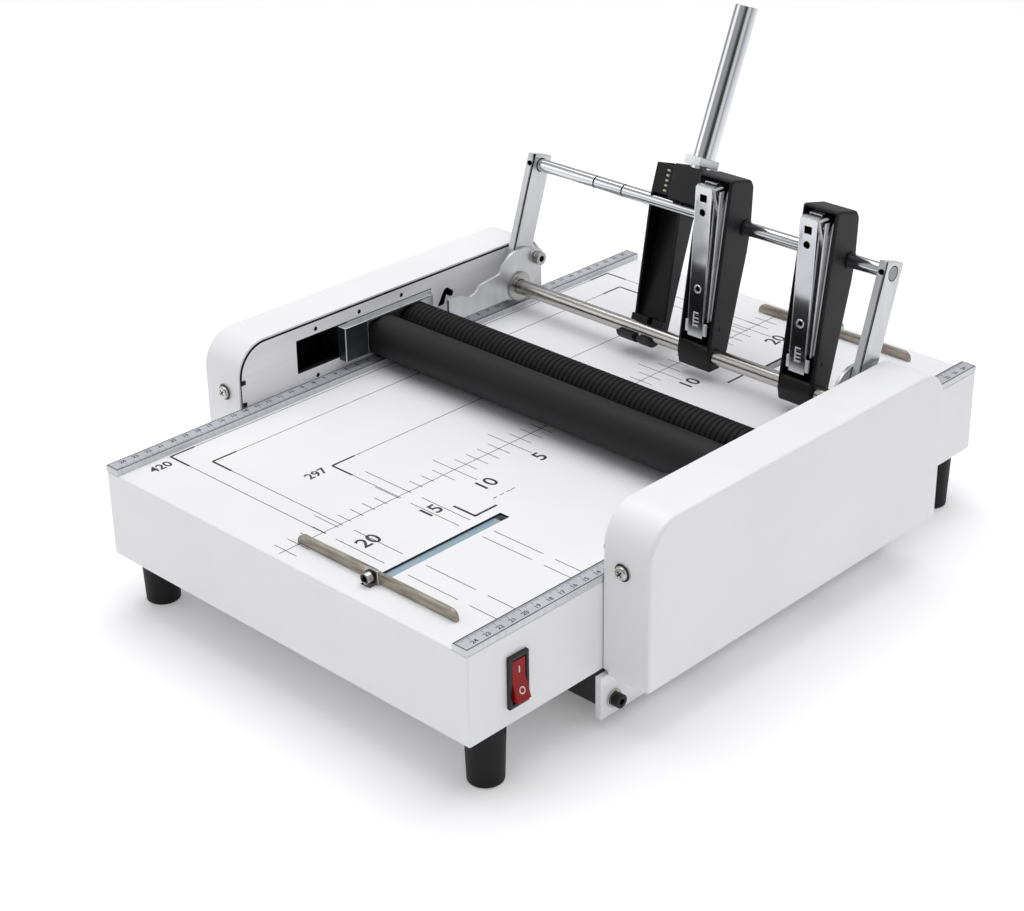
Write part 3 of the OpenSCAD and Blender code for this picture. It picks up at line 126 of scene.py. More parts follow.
# Base: one sheet of steel folded down on four sides, powder-coated white, whose top is the
# paper table. The folds leave soft outside edges, and the coat has a faint orange-peel skin. A
# slit in the end wall of the front channel lets a tape through.
base_low, base_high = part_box("base_shell")
table_z = base_high.z
sheet_thick = 0.0015
fold_round, fold_steps = 0.0014, 4
slit_size, slit_place = (0.0146, 0.004, 0.0008), (0.065, -0.11625, table_z - 0.00198)
slots_x, slots_y = 0.158, 0.247
on_face = 1e-5
slanting = 0.3
weld_gap, flat_angle = 1e-6, math.radians(0.6)
sharp_angle, smooth_angle = math.radians(28), math.radians(34)
patch_ends = (0.3, 0.7)

skin = bpy.data.node_groups.new("surface_skin", "ShaderNodeTree")
for socket, kind in (
    ("Vector", "NodeSocketVector"), ("Grain", "NodeSocketFloat"), ("Patches", "NodeSocketFloat"),
):
    skin.interface.new_socket(name=socket, in_out="INPUT", socket_type=kind)
for socket in ("Relief", "Patch"):
    skin.interface.new_socket(name=socket, in_out="OUTPUT", socket_type="NodeSocketFloat")
skin_in = skin.nodes.new("NodeGroupInput")
skin_out = skin.nodes.new("NodeGroupOutput")
for scale, output, detail in (("Grain", "Relief", 3.0), ("Patches", "Patch", 5.0)):
    noise = skin.nodes.new("ShaderNodeTexNoise")
    noise.inputs["Detail"].default_value = detail
    skin.links.new(skin_in.outputs["Vector"], noise.inputs["Vector"])
    skin.links.new(skin_in.outputs[scale], noise.inputs["Scale"])
    skin.links.new(noise.outputs["Fac"], skin_out.inputs[output])


def finish(name, pale, deep, gloss, grain, patches, relief, depth,
           metal=0.0, stretch=(1, 1, 1), **sockets):
    """A material whose colour, gloss and relief all vary with the shared skin."""
    material = bpy.data.materials.new(name)
    material.use_nodes = True
    nodes, links = material.node_tree.nodes, material.node_tree.links
    shader = nodes["Principled BSDF"]
    place = nodes.new("ShaderNodeTexCoord")
    turn = nodes.new("ShaderNodeMapping")
    turn.inputs["Scale"].default_value = stretch
    layer = nodes.new("ShaderNodeGroup")
    layer.node_tree = skin
    layer.inputs["Grain"].default_value = grain
    layer.inputs["Patches"].default_value = patches
    colours = nodes.new("ShaderNodeValToRGB")
    ramp = colours.color_ramp.elements
    ramp[0].position, ramp[1].position = patch_ends
    ramp[0].color, ramp[1].color = tone(*deep), tone(*pale)
    shine = nodes.new("ShaderNodeMapRange")
    shine.inputs["To Min"].default_value = gloss[0]
    shine.inputs["To Max"].default_value = gloss[1]
    bump = nodes.new("ShaderNodeBump")
    bump.inputs["Strength"].default_value = relief
    bump.inputs["Distance"].default_value = depth
    links.new(place.outputs["Object"], turn.inputs["Vector"])
    links.new(turn.outputs["Vector"], layer.inputs["Vector"])
    links.new(layer.outputs["Patch"], colours.inputs["Fac"])
    links.new(layer.outputs["Patch"], shine.inputs["Value"])
    links.new(layer.outputs["Relief"], bump.inputs["Height"])
    links.new(colours.outputs["Color"], shader.inputs["Base Color"])
    links.new(shine.outputs["Result"], shader.inputs["Roughness"])
    links.new(bump.outputs["Normal"], shader.inputs["Normal"])
    shader.inputs["Metallic"].default_value = metal
    for socket, value in sockets.items():
        shader.inputs[socket.replace("_", " ")].default_value = value
    return material


def take(piece):
    """Makes a piece the active one, and the only one selected."""
    clear_selection()
    bpy.context.view_layer.objects.active = piece
    piece.select_set(True)


def solid_copy(node, name, material):
    """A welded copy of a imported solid, with its flat faces joined up, ready to be eased."""
    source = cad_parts[node]
    piece = source.copy()
    piece.data = source.data.copy()
    piece.name = name
    for key in list(piece.keys()):
        del piece[key]
    piece.parent = None
    piece.matrix_world = Matrix()
    bpy.context.scene.collection.objects.link(piece)
    take(piece)
    bpy.ops.object.mode_set(mode="EDIT")
    bpy.ops.mesh.select_all(action="SELECT")
    bpy.ops.mesh.remove_doubles(threshold=weld_gap)
    bpy.ops.mesh.dissolve_limited(angle_limit=flat_angle)
    bpy.ops.object.mode_set(mode="OBJECT")
    piece.data.materials.clear()
    piece.data.materials.append(material)
    return piece


def ease_where(piece, test, width, segments=3):
    """Rounds the sharp edges whose two ends both pass the test."""
    bpy.ops.object.mode_set(mode="EDIT")
    bpy.ops.mesh.select_mode(type="EDGE")
    bpy.ops.mesh.select_all(action="DESELECT")
    bpy.ops.mesh.edges_select_sharp(sharpness=sharp_angle)
    bpy.ops.object.mode_set(mode="OBJECT")
    points = piece.data.vertices
    for face in piece.data.polygons:
        face.select = False
    for edge in piece.data.edges:
        edge.select = edge.select and all(test(points[i].co) for i in edge.vertices)
    bpy.ops.object.mode_set(mode="EDIT")
    bpy.ops.mesh.bevel(offset=width, segments=segments, profile=0.5, affect="EDGES", clamp_overlap=False)
    bpy.ops.object.mode_set(mode="OBJECT")


def level_faces(piece):
    """Smooths the round faces and keeps the wide flat ones flat up to their eased edges."""
    bpy.ops.object.shade_smooth_by_angle(angle=smooth_angle)
    level = piece.modifiers.new("flat_faces", "WEIGHTED_NORMAL")
    level.keep_sharp = True
    bpy.ops.object.modifier_apply(modifier=level.name)


def second_finish(piece, material, test):
    """Gives the faces that pass the test another material."""
    piece.data.materials.append(material)
    for face in piece.data.polygons:
        if test(face):
            face.material_index = len(piece.data.materials) - 1


def stand_in(piece, node, body):
    """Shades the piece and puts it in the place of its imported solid."""
    take(piece)
    level_faces(piece)
    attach(piece, body)
    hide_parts(node)


def cut_away(piece, cutter, name):
    """Cuts a shape out of a piece and throws the cutter away."""
    take(piece)
    taken = piece.modifiers.new(name, "BOOLEAN")
    taken.object = cutter
    bpy.ops.object.modifier_apply(modifier=taken.name)
    bpy.data.objects.remove(cutter)


def on_base_corner(p):
    """Where two or more of the outer faces of the base meet."""
    gaps = (abs(p.x) - base_high.x, abs(p.y) - base_high.y, p.z - base_high.z, p.z - base_low.z)
    return sum(abs(gap) < on_face for gap in gaps) >= 2


def in_table_slot(face):
    """The walls of the slots in the table, no deeper than the sheet, which get painted shade."""
    upright = abs(face.normal.z) < slanting and face.center.z > table_z - sheet_thick
    return upright and abs(face.center.x) < slots_x and abs(face.center.y) < slots_y


white_coat = finish(
    "white_powder_coat", pale=(244, 244, 246), deep=(238, 238, 241), gloss=(0.36, 0.46),
    grain=1100, patches=9, relief=0.12, depth=0.00012, Coat_Weight=0.12, Coat_Roughness=0.35)
# A dark finish for painted shade on slot walls, plate openings, the top edges of the plates and the shaft
# grooves.
painted_edge_shade = finish(
    "painted_shade_on_edges", pale=(38, 40, 44), deep=(26, 27, 30), gloss=(0.45, 0.6),
    grain=900, patches=40, relief=0.1, depth=0.00004, metal=0.3)
base = solid_copy("base_shell", "white_base", white_coat)
ease_where(base, on_base_corner, fold_round, fold_steps)
bpy.ops.mesh.primitive_cube_add(size=1, location=slit_place, scale=slit_size)
cut_away(base, bpy.context.object, "tape_slit")
second_finish(base, painted_edge_shade, in_table_slot)
stand_in(base, "base_shell", "housing")

# Table print: thin black lines screen-printed on the white coat. A centre line with a tick at
# every centimetre, corner marks where large and small sheets go, and plain numbers beside them.
mm = 0.001
ink_thick, number_weight = 0.00006, 0.00022
hairline, fine, bold, heavy, dash = 0.5, 0.52, 1.5, 1.8, 0.6
large, small = 15.5, 10.5
front_end, back_end, fold_clear = -245, 232, 6
short_tick, long_tick, cut_tick = 10, 20, 2
ticked, cut_short = range(2, 25), range(12, 23)
sheet_corners, corner_bold = ((-147.5, 210.5), (-122.3, 196.5), (-61.5, 148.8)), 19
short_start, cross_lines = -40, (-140, -149.5, -196, -210.7)
cross_parts = ((11.5, 54), (74, 115), (124.5, 148))
stop_corners = (
    (34, -134.3, 53.4, -134.3), (52.6, -135, 52.6, -115.4), (28, 135.5, 47.2, 135.5), (46.4, 136, 46.4, 118),
)
dash_x, dash_long, dashes = 45, 3.4, (-111, -105, -99, -95)
ink = finish(
    "printing_ink", pale=(46, 47, 50), deep=(30, 31, 33), gloss=(0.45, 0.6),
    grain=900, patches=60, relief=0.1, depth=0.00005)


def set_in_place():
    """Moves the place, turn and scale of what is selected into its mesh."""
    bpy.ops.object.transform_apply(location=True, rotation=True, scale=True)


def printed_strips(name, strips, z, thick=ink_thick):
    """Flat strips given as x, y, width and length in millimetres, printed at one height."""
    clear_selection()
    bpy.ops.mesh.primitive_plane_add(size=mm, location=(0, 0, 0))
    printed = bpy.context.object
    printed.name = name
    bpy.ops.object.mode_set(mode="EDIT")
    bpy.ops.mesh.delete(type="VERT")
    for x, y, width, length in strips:
        place = (x * mm, y * mm, z)
        bpy.ops.mesh.primitive_plane_add(size=mm, location=place)
        bpy.ops.transform.resize(value=(width, length, 1), center_override=place)
    bpy.ops.object.mode_set(mode="OBJECT")
    lay = printed.modifiers.new("ink_layer", "SOLIDIFY")
    lay.thickness = thick
    lay.offset = 1
    bpy.ops.object.modifier_apply(modifier=lay.name)
    return printed


def printed_number(text, x, y, z, size, weight=number_weight, thick=ink_thick):
    """A plain number as a thin mesh, its middle at x and y in millimetres."""
    clear_selection()
    bpy.ops.object.text_add(location=(x * mm, y * mm, z), rotation=(0, 0, math.radians(90)))
    number = bpy.context.object
    number.data.body = text
    number.data.size = size * mm
    number.data.align_x = "CENTER"
    number.data.align_y = "CENTER"
    number.data.resolution_u = 4
    number.data.offset = weight
    number.data.extrude = thick / 2
    bpy.ops.object.convert(target="MESH")
    set_in_place()
    return bpy.context.object


def joined(first, others, material, body, seat=Matrix()):
    """One piece made of several printed or formed ones, set in its seat."""
    clear_selection()
    for other in others:
        other.select_set(True)
    first.select_set(True)
    bpy.context.view_layer.objects.active = first
    if others:
        bpy.ops.object.join()
    first.matrix_world = seat @ first.matrix_world
    set_in_place()
    first.data.materials.clear()
    first.data.materials.append(material)
    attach(first, body)
    return first


def line(x0, y0, x1, y1, wide=hairline):
    """A straight printed line as a strip."""
    return ((x0 + x1) / 2, (y0 + y1) / 2, max(abs(x1 - x0), wide), max(abs(y1 - y0), wide))


strips = [line(0, front_end, 0, -fold_clear), line(0, fold_clear, 0, back_end)]
for centimetre in ticked:
    reach = long_tick if centimetre % 5 == 0 else short_tick
    beside_slot = cut_tick if centimetre in cut_short else reach
    y = 10 * centimetre
    strips.append(line(-reach, -y, beside_slot, -y, fine))
    strips.append(line(-reach, y, reach, y, fine))
for x, y in sheet_corners:
    strips += [line(x, -y, x, -fold_clear, fine), line(x, fold_clear, x, y, fine)]
    strips += [line(x, -y, cut_tick, -y, fine), line(x, y, cut_tick, y, fine)]
    for end in (-y, y):
        strips.append(line(x, end, x, end - math.copysign(corner_bold, end), bold))
        strips.append(line(x, end, x + corner_bold, end, bold))
strips.append(line(short_start, cross_lines[0], cut_tick, cross_lines[0], fine))
for y in cross_lines:
    strips += [line(start, y, end, y, fine) for start, end in cross_parts]
strips += [line(*ends, heavy) for ends in stop_corners]
strips += [line(dash_x, y, dash_x, y + dash_long, dash) for y in dashes]
lines = printed_strips("table_print", strips, table_z)
numbers = [printed_number(text, x, y, table_z, size) for text, x, y, size in (
    ("5", 27.5, -50, large), ("10", 28.5, -100, large), ("15", 28.5, -148, large), ("20", 28, -199, large),
    ("10", 27.6, 100, large), ("20", 26.7, 198, large),
    ("420", -140.5, -223.5, small), ("297", -60.5, -163, small),
)]
joined(lines, numbers, ink, "housing")

# Rulers: steel bars along both sides of the table, with a satin grey scale on top inside a dark
# border, millimetre ticks with longer ones at five and ten, and a number at every centimetre.
broken_edge, square_on = 0.0003, 0.9
border, far_border, border_across, border_short = 0.7, 11.3, 11, 0.8
mark_thick, tick_inset, tick_wide = 0.00004, 0.6, 0.26
tick_rows = ((1, 2.0, 497), (5, 3.2, 99), (10, 4.4, 49))
figure_inset, figure_size, figure_weight, last_figure = 7.9, 4.6, 0.0001, 24
ruler_steel = finish(
    "ruler_steel", pale=(224, 225, 228), deep=(208, 209, 213), gloss=(0.3, 0.42),
    grain=300, patches=14, relief=0.2, depth=0.00005, metal=0.35, stretch=(1, 40, 1))
scale_grey = finish(
    "scale_grey", pale=(198, 199, 205), deep=(184, 185, 192), gloss=(0.38, 0.5),
    grain=700, patches=40, relief=0.15, depth=0.00004, metal=0.25)
ruler_ink = finish(
    "ruler_ink", pale=(36, 36, 40), deep=(24, 24, 27), gloss=(0.5, 0.6),
    grain=900, patches=60, relief=0.1, depth=0.00005)


def ease_all(piece, width=broken_edge, segments=2, angle=32):
    """Breaks every sharp edge of a piece a little."""
    ease = piece.modifiers.new("broken_edges", "BEVEL")
    ease.width = width
    ease.segments = segments
    ease.limit_method = "ANGLE"
    ease.angle_limit = math.radians(angle)
    ease.use_clamp_overlap = False
    bpy.ops.object.modifier_apply(modifier=ease.name)


def eased_part(node, name, material, body, width=broken_edge, segments=2, angle=32, others=()):
    """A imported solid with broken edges, and other finishes on the faces that pass their tests."""
    piece = solid_copy(node, name, material)
    ease_all(piece, width, segments, angle)
    for other, test in others:
        second_finish(piece, other, test)
    stand_in(piece, node, body)


for side, node in ((-1, "left_ruler"), (1, "right_ruler")):
    eased_part(node, node + "_bar", ruler_steel, "housing",
               others=[(scale_grey, lambda face: face.normal.z > square_on)])
    low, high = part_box(node)
    inner = (low.x if side > 0 else high.x) / mm
    middle, reach = (low.x + high.x) / 2 / mm, (high.y - low.y) / 2 / mm
    along = 2 * reach - border_short
    marks = printed_strips(node + "_ticks", [
        (inner + side * border, 0, border, along), (inner + side * far_border, 0, border, along),
        (middle, border - reach, border_across, border), (middle, reach - border, border_across, border),
    ], high.z, mark_thick)
    ticks = []
    for step, length, count in tick_rows:
        first = (inner + side * (tick_inset + length / 2), -step * (count // 2), length, tick_wide)
        tick = printed_strips("tick", [first], high.z, mark_thick)
        row = tick.modifiers.new("row_of_ticks", "ARRAY")
        row.count = count
        row.use_relative_offset = False
        row.use_constant_offset = True
        row.constant_offset_displace = (0, step * mm, 0)
        bpy.ops.object.modifier_apply(modifier=row.name)
        ticks.append(tick)
    figures = [
        printed_number(str(abs(step)), inner + side * figure_inset, 10 * step, high.z,
                       figure_size, figure_weight, mark_thick)
        for step in range(-last_figure, last_figure + 1)]
    joined(marks, ticks + figures, ruler_ink, "housing")

# Feet and undertray: tapered black rubber feet moulded round a stud, and a shallow tray of
# black-coated sheet between the side plates, which closes the underside.
near_ground, foot_round = 0.0001, 0.0012
foot_rubber = finish(
    "foot_rubber", pale=(14, 14, 16), deep=(9, 9, 10), gloss=(0.5, 0.68),
    grain=1800, patches=30, relief=0.25, depth=0.0002, Specular_IOR_Level=0.3)
tray_coat = finish(
    "black_tray_coat", pale=(26, 26, 28), deep=(17, 17, 19), gloss=(0.4, 0.55),
    grain=1200, patches=12, relief=0.15, depth=0.00015)
feet = solid_copy("feet", "rubber_feet", foot_rubber)
ease_where(feet, lambda p: p.z < near_ground, foot_round)
stand_in(feet, "feet", "housing")
eased_part("undertray", "black_tray", tray_coat, "housing")

# Side plates: laser-cut steel with a fine brushed grain along the table. They carry the rollers
# in their windows and everything that swings above the table.
plate_low, plate_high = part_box("left_side_plate")
plate_edge, plate_corner, plate_rim, half_way = 0.00025, 0.023, 0.0015, 0.5
hole_radius, hole_deep = 0.0015, 0.005
hole_place = (plate_high.x, -0.0722, table_z + 0.0058)
plate_steel = finish(
    "plate_steel", pale=(250, 250, 252), deep=(241, 241, 244), gloss=(0.34, 0.48),
    grain=240, patches=7, relief=0.1, depth=0.00004, stretch=(20, 1, 20))


def is_cut(face):
    """The walls of the holes and windows, well inside the round outline, and the top edge, all given painted
    shade.
    """
    middle, half = (plate_low.y + plate_high.y) / 2, (plate_high.y - plate_low.y) / 2
    past_y = max(abs(face.center.y - middle) - half + plate_corner, 0)
    past_z = max(face.center.z - plate_high.z + plate_corner, 0)
    inside = face.center.z > table_z and math.hypot(past_y, past_z) < plate_corner - plate_rim
    top_edge = face.normal.z > half_way and face.center.z > plate_high.z - plate_corner
    return top_edge or (inside and abs(face.normal.x) < half_way)


for node in ("left_side_plate", "right_side_plate"):
    plate = solid_copy(node, node + "_cut", plate_steel)
    if node == "left_side_plate":
        bpy.ops.mesh.primitive_cylinder_add(vertices=24, radius=hole_radius, depth=hole_deep,
                                            rotation=(0, math.radians(90), 0), location=hole_place)
        cut_away(plate, bpy.context.object, "spare_hole")
    ease_all(plate, plate_edge)
    second_finish(plate, painted_edge_shade, is_cut)
    stand_in(plate, node, "housing")

# Edge clips: folded black spring clips on the front edge of each plate, against which the cover
# is pushed, two on each side.
table_mm = table_z / mm
formed_edge = 0.0002
clip_half, clip_heights = 1.5, (6, 22)
clip_folds = ((161.2, 161.95, -138.3, -135.2), (161.2, 165, -138.3, -137.1))
black_moulded = finish(
    "black_moulding", pale=(22, 22, 24), deep=(14, 14, 15), gloss=(0.32, 0.46),
    grain=1700, patches=35, relief=0.12, depth=0.00006, Specular_IOR_Level=0.4)


def formed_block(low, high, ease=formed_edge):
    """A small block given by two corners in millimetres, with its edges broken."""
    clear_selection()
    bpy.ops.mesh.primitive_cube_add(size=1, location=[(a + b) / 2 * mm for a, b in zip(low, high)],
                                    scale=[(b - a) * mm for a, b in zip(low, high)])
    set_in_place()
    ease_all(bpy.context.object, ease)
    return bpy.context.object


edge_clips = []
for side in (-1, 1):
    for up in clip_heights:
        for inside, outside, front, back in clip_folds:
            left, right = sorted((side * inside, side * outside))
            edge_clips.append(formed_block((left, front, table_mm + up - clip_half),
                                           (right, back, table_mm + up + clip_half)))
edge_clips[0].name = "edge_clips"
joined(edge_clips[0], edge_clips[1:], black_moulded, "housing")

# Covers: deep white housings with large round top corners, folded and welded from sheet, coated like the
# base but left in black primer inside, and screwed to lugs on the plates. Their inner top wall is dark as
# well, as painted shade in the gap above the plate.
cover_round, cover_steps, cover_edge, coat_wrap = 0.0022, 4, 0.00025, 0.167
# Black primer, also used as painted shade in gaps, grooves and holes.
primer_and_shade = finish(
    "black_primer_and_painted_shade", pale=(20, 20, 21), deep=(12, 12, 13), gloss=(0.6, 0.8),
    grain=1300, patches=20, relief=0.15, depth=0.0001, Specular_IOR_Level=0.2)
for node in ("left_cover", "right_cover"):
    low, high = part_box(node)
    heart, outside = (low + high) / 2, max(abs(low.x), abs(high.x))
    cover = solid_copy(node, node + "_housing", white_coat)
    ease_where(cover, lambda p: abs(abs(p.x) - outside) < on_face, cover_round, cover_steps)
    ease_all(cover, cover_edge)
    bpy.ops.object.mode_set(mode="EDIT")
    bpy.ops.mesh.select_all(action="SELECT")
    bpy.ops.mesh.bisect(plane_co=(math.copysign(coat_wrap, heart.x), 0, 0), plane_no=(1, 0, 0))
    bpy.ops.object.mode_set(mode="OBJECT")
    second_finish(cover, primer_and_shade, lambda face: face.normal.dot(heart - face.center) > 0
                  and (abs(face.center.x) > coat_wrap or face.normal.z < -square_on))
    stand_in(cover, node, "housing")

# Screws of the case: zinc-plated pan heads with a washer on the ends of the covers, each with
# a cross recess, and plain ones inside. Black cap screws with plated washers hold the tray.
washer_radius, washer_thick, washer_up = 0.0058, 0.0009, 0.0004
head_radius, head_tall, head_up = 0.0043, 0.0026, 0.0021
head_round, head_steps, head_edge = 0.0014, 4, 0.0002
recess_size, recess_up, recess_floor, recess_reach = (0.0046, 0.0009, 0.0026), 0.0034, 0.0031, 0.0024
cover_screw_x, cover_screw_z = 0.1775, table_z + 0.012
tray_screw_edge, tray_washer_from, tray_washer_to = 0.00025, 0.1664, 0.16825
screw_zinc = finish(
    "screw_zinc", pale=(214, 213, 208), deep=(178, 177, 172), gloss=(0.2, 0.34),
    grain=900, patches=60, relief=0.1, depth=0.00005, metal=1.0)
# Black oxide for the black screws and clips, also used as painted shade in recesses, bores and sockets.
black_oxide_and_shade = finish(
    "black_oxide_and_painted_shade", pale=(24, 24, 26), deep=(14, 14, 16), gloss=(0.34, 0.5),
    grain=1500, patches=50, relief=0.1, depth=0.00005, metal=0.4)
eased_part("case_screws", "case_screw_set", screw_zinc, "housing", width=head_edge)


def pan_head(name):
    """A washer and a domed head with a cross recess, facing up from the origin."""
    clear_selection()
    bpy.ops.mesh.primitive_cylinder_add(vertices=40, radius=washer_radius, depth=washer_thick,
                                        location=(0, 0, washer_up))
    washer = bpy.context.object
    ease_all(washer, head_edge)
    clear_selection()
    bpy.ops.mesh.primitive_cylinder_add(vertices=40, radius=head_radius, depth=head_tall,
                                        location=(0, 0, head_up))
    head = bpy.context.object
    ease_where(head, lambda p: p.z > 0, head_round, head_steps)
    for turn in (45, 135):
        clear_selection()
        bpy.ops.mesh.primitive_cube_add(size=1, location=(0, 0, recess_up), scale=recess_size,
                                        rotation=(0, 0, math.radians(turn)))
        cut_away(head, bpy.context.object, "cross_recess")
    take(head)
    washer.select_set(True)
    bpy.ops.object.join()
    set_in_place()
    head.name = name
    return head


cover_screws = []
for side, node in ((-1, "left_cover"), (1, "right_cover")):
    low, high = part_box(node)
    for outward, y in ((-1, low.y), (1, high.y)):
        head = pan_head("cover_screw")
        head.rotation_euler = (math.radians(-90 * outward), 0, 0)
        head.location = (side * cover_screw_x, y, cover_screw_z)
        set_in_place()
        bpy.ops.object.shade_smooth_by_angle(angle=smooth_angle)
        cover_screws.append(head)


def in_recess(face):
    """The floor and the walls of a cross recess, which get painted shade."""
    proud = max(low.y - face.center.y, face.center.y - high.y)
    off_axis = math.hypot(abs(face.center.x) - cover_screw_x, face.center.z - cover_screw_z)
    return proud < recess_floor and off_axis < recess_reach


screws = joined(cover_screws[0], cover_screws[1:], screw_zinc, "housing")
second_finish(screws, black_oxide_and_shade, in_recess)
eased_part("tray_screws", "tray_cap_screws", black_oxide_and_shade, "housing", width=tray_screw_edge,
           others=[(screw_zinc, lambda face: tray_washer_from < abs(face.center.x) < tray_washer_to)])

# Pivot: S-shaped plates of nickel-plated steel beside the arms, held by a plain bush round the
# shaft and a cap screw with a spacer, which also stops the arm.
bracket_edge = 0.0004
nickel = finish(
    "nickel_plate", pale=(218, 219, 221), deep=(200, 201, 204), gloss=(0.24, 0.36),
    grain=420, patches=16, relief=0.08, depth=0.00004, metal=0.7, stretch=(6, 6, 1))
bush_steel = finish(
    "bush_steel", pale=(196, 195, 192), deep=(158, 157, 154), gloss=(0.2, 0.34),
    grain=700, patches=40, relief=0.1, depth=0.00004, metal=1.0)
for node in ("left_pivot_bracket", "right_pivot_bracket"):
    eased_part(node, node + "_plate", nickel, "housing", width=bracket_edge)
for node, dark_within in (("pivot_bushes", 0.0062), ("stop_bolts", 0.0026)):
    low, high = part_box(node)
    axis_y, axis_z = (low.y + high.y) / 2, (low.z + high.z) / 2
    turned = solid_copy(node, node + "_turned", bush_steel)
    ease_all(turned)
    points = turned.data.vertices
    # Faces near the axis, the bore of the bush and the socket of the screw, get painted shade.
    second_finish(turned, black_oxide_and_shade, lambda face: max(
        math.hypot(points[i].co.y - axis_y, points[i].co.z - axis_z) for i in face.vertices) < dark_within)
    stand_in(turned, node, "housing")

# Switch and inlet: a red rocker in a black moulded frame, snapped into the right wall, with a
# white bar and ring on its two ends, and a three-pin inlet in the back wall.
bezel_edge, rocker_edge = 0.0005, 0.0007
rocker_axis, rocker_tilt = (0.162, -0.212, table_z - 0.0315), math.radians(-10)
rocker_rise, rocker_half = 2.3, 13.2
rocker_lean = math.atan2(rocker_rise, rocker_half)
rocker_place = Matrix.Translation(rocker_axis) @ Matrix.Rotation(rocker_tilt, 4, "Y")
mark_out, mark_off, mark_angle = 0.00345, 0.0066, math.radians(40)
bar_size, bar_edge = (0.0003, 0.0009, 0.0042), 0.0001
ring_radius, ring_wire, ring_flat = 0.0019, 0.00042, 0.35
pin_size, inlet_middle = (0.0018, 0.013, 0.004), Vector((0.1, 0.2405, table_z - 0.030))
pin_spots = ((-0.0065, -0.002), (0.0065, -0.002), (0, 0.0025))
red_moulded = finish(
    "red_moulding", pale=(164, 2, 10), deep=(132, 1, 6), gloss=(0.2, 0.32),
    grain=1200, patches=70, relief=0.05, depth=0.00004, Specular_IOR_Level=0.25)
white_mark = finish(
    "white_mark", pale=(226, 222, 222), deep=(208, 204, 204), gloss=(0.4, 0.5),
    grain=900, patches=50, relief=0.05, depth=0.00002)
eased_part("switch_frame", "switch_bezel", black_moulded, "housing", width=bezel_edge, segments=3)
eased_part("switch_rocker", "red_rocker", red_moulded, "rocker", width=rocker_edge, segments=3)
for upper, name in ((1, "rocker_bar"), (-1, "rocker_ring")):
    clear_selection()
    if upper > 0:
        bpy.ops.mesh.primitive_cube_add(size=1, scale=bar_size)
        ease_all(bpy.context.object, bar_edge)
    else:
        bpy.ops.mesh.primitive_torus_add(major_radius=ring_radius, minor_radius=ring_wire, major_segments=36,
                                         minor_segments=8, rotation=(0, math.radians(90), 0))
        set_in_place()
        bpy.ops.transform.resize(value=(ring_flat, 1, 1))
    mark = bpy.context.object
    mark.name = name
    set_in_place()
    mark.matrix_world = (rocker_place @ Matrix.Translation((mark_out, 0, upper * mark_off))
                         @ Matrix.Rotation(upper * rocker_lean, 4, "Y"))
    set_in_place()
    bpy.ops.object.shade_smooth_by_angle(angle=mark_angle)
    joined(mark, [], white_mark, "rocker")
eased_part("power_inlet", "inlet_body", black_moulded, "housing")
pins = []
for x, z in pin_spots:
    clear_selection()
    bpy.ops.mesh.primitive_cube_add(size=1, scale=pin_size)
    pin = bpy.context.object
    ease_all(pin)
    pin.location = inlet_middle + Vector((x, 0, z))
    set_in_place()
    pins.append(pin)
pins[0].name = "inlet_pins"
joined(pins[0], pins[1:], screw_zinc, "housing")

# Swinging frame: a ground stainless shaft below, a chromed shaft with ring grooves above, and
# two nickel-plated arms that tie them together, each clamped by a set screw near its top.
swing_axis, swing_rest = (0, 0.114, table_z + 0.0186), math.radians(-18.4)
swing = Matrix.Translation(swing_axis) @ Matrix.Rotation(swing_rest, 4, "X")
arm_span, arm_front = 0.0908, -0.0095
arm_round, arm_edge = 0.0015, 0.0006
groove_radius, groove_reach = 0.0046, 0.13
ring_from, ring_to, ring_facing = 0.0045, 0.0060, (0.2, 0.97)
set_screw_radius, set_screw_front = 0.0019, -0.0045
shaft_steel = finish(
    "ground_shaft", pale=(206, 204, 200), deep=(180, 178, 174), gloss=(0.16, 0.28),
    grain=600, patches=18, relief=0.1, depth=0.00003, metal=1.0, stretch=(1, 6, 6))
chrome = finish(
    "chrome_plate", pale=(224, 225, 228), deep=(208, 209, 213), gloss=(0.1, 0.18),
    grain=350, patches=12, relief=0.04, depth=0.00004, metal=1.0)
cut_steel = finish(
    "sawn_steel", pale=(164, 164, 166), deep=(142, 142, 145), gloss=(0.4, 0.5),
    grain=500, patches=30, relief=0.1, depth=0.00004, metal=0.2)


def is_shaft_end(face):
    return abs(face.normal.x) > square_on


def in_groove(face):
    """The ring grooves of the upper shaft, between the arms, which get painted shade."""
    at = swing.inverted() @ face.center
    return math.hypot(at.y, at.z - arm_span) < groove_radius and abs(at.x) < groove_reach


def in_arm_shade(face, arm_x):
    """The long corner of an arm, the ring round the upper shaft and the holes of the set screws, all given
    painted shade.
    """
    at, facing = swing.inverted() @ face.center, swing.to_3x3().inverted() @ face.normal
    sloping = ring_facing[0] < abs(facing.x) < ring_facing[1]
    ring = sloping and ring_from < math.hypot(at.y, at.z - arm_span) < ring_to
    off_screw = min(math.hypot(at.x - arm_x, at.z - z) for z in (0, arm_span))
    set_screw = off_screw < set_screw_radius and at.y < set_screw_front
    return ring or set_screw or (facing.x > slanting and facing.y < -slanting)


eased_part("lower_shaft", "lower_shaft_turned", shaft_steel, "stapling_frame",
           others=[(cut_steel, is_shaft_end)])
eased_part("upper_shaft", "upper_shaft_turned", chrome, "stapling_frame",
           others=[(cut_steel, is_shaft_end), (painted_edge_shade, in_groove)])
for node in ("left_arm", "right_arm"):
    low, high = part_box(node)
    arm = solid_copy(node, node + "_plate", nickel)
    ease_where(arm, lambda p: abs(p.x - high.x) < on_face
               and abs((swing.inverted() @ p).y - arm_front) < on_face, arm_round)
    ease_all(arm, arm_edge)
    second_finish(arm, primer_and_shade, lambda face: in_arm_shade(face, (low.x + high.x) / 2))
    stand_in(arm, node, "stapling_frame")

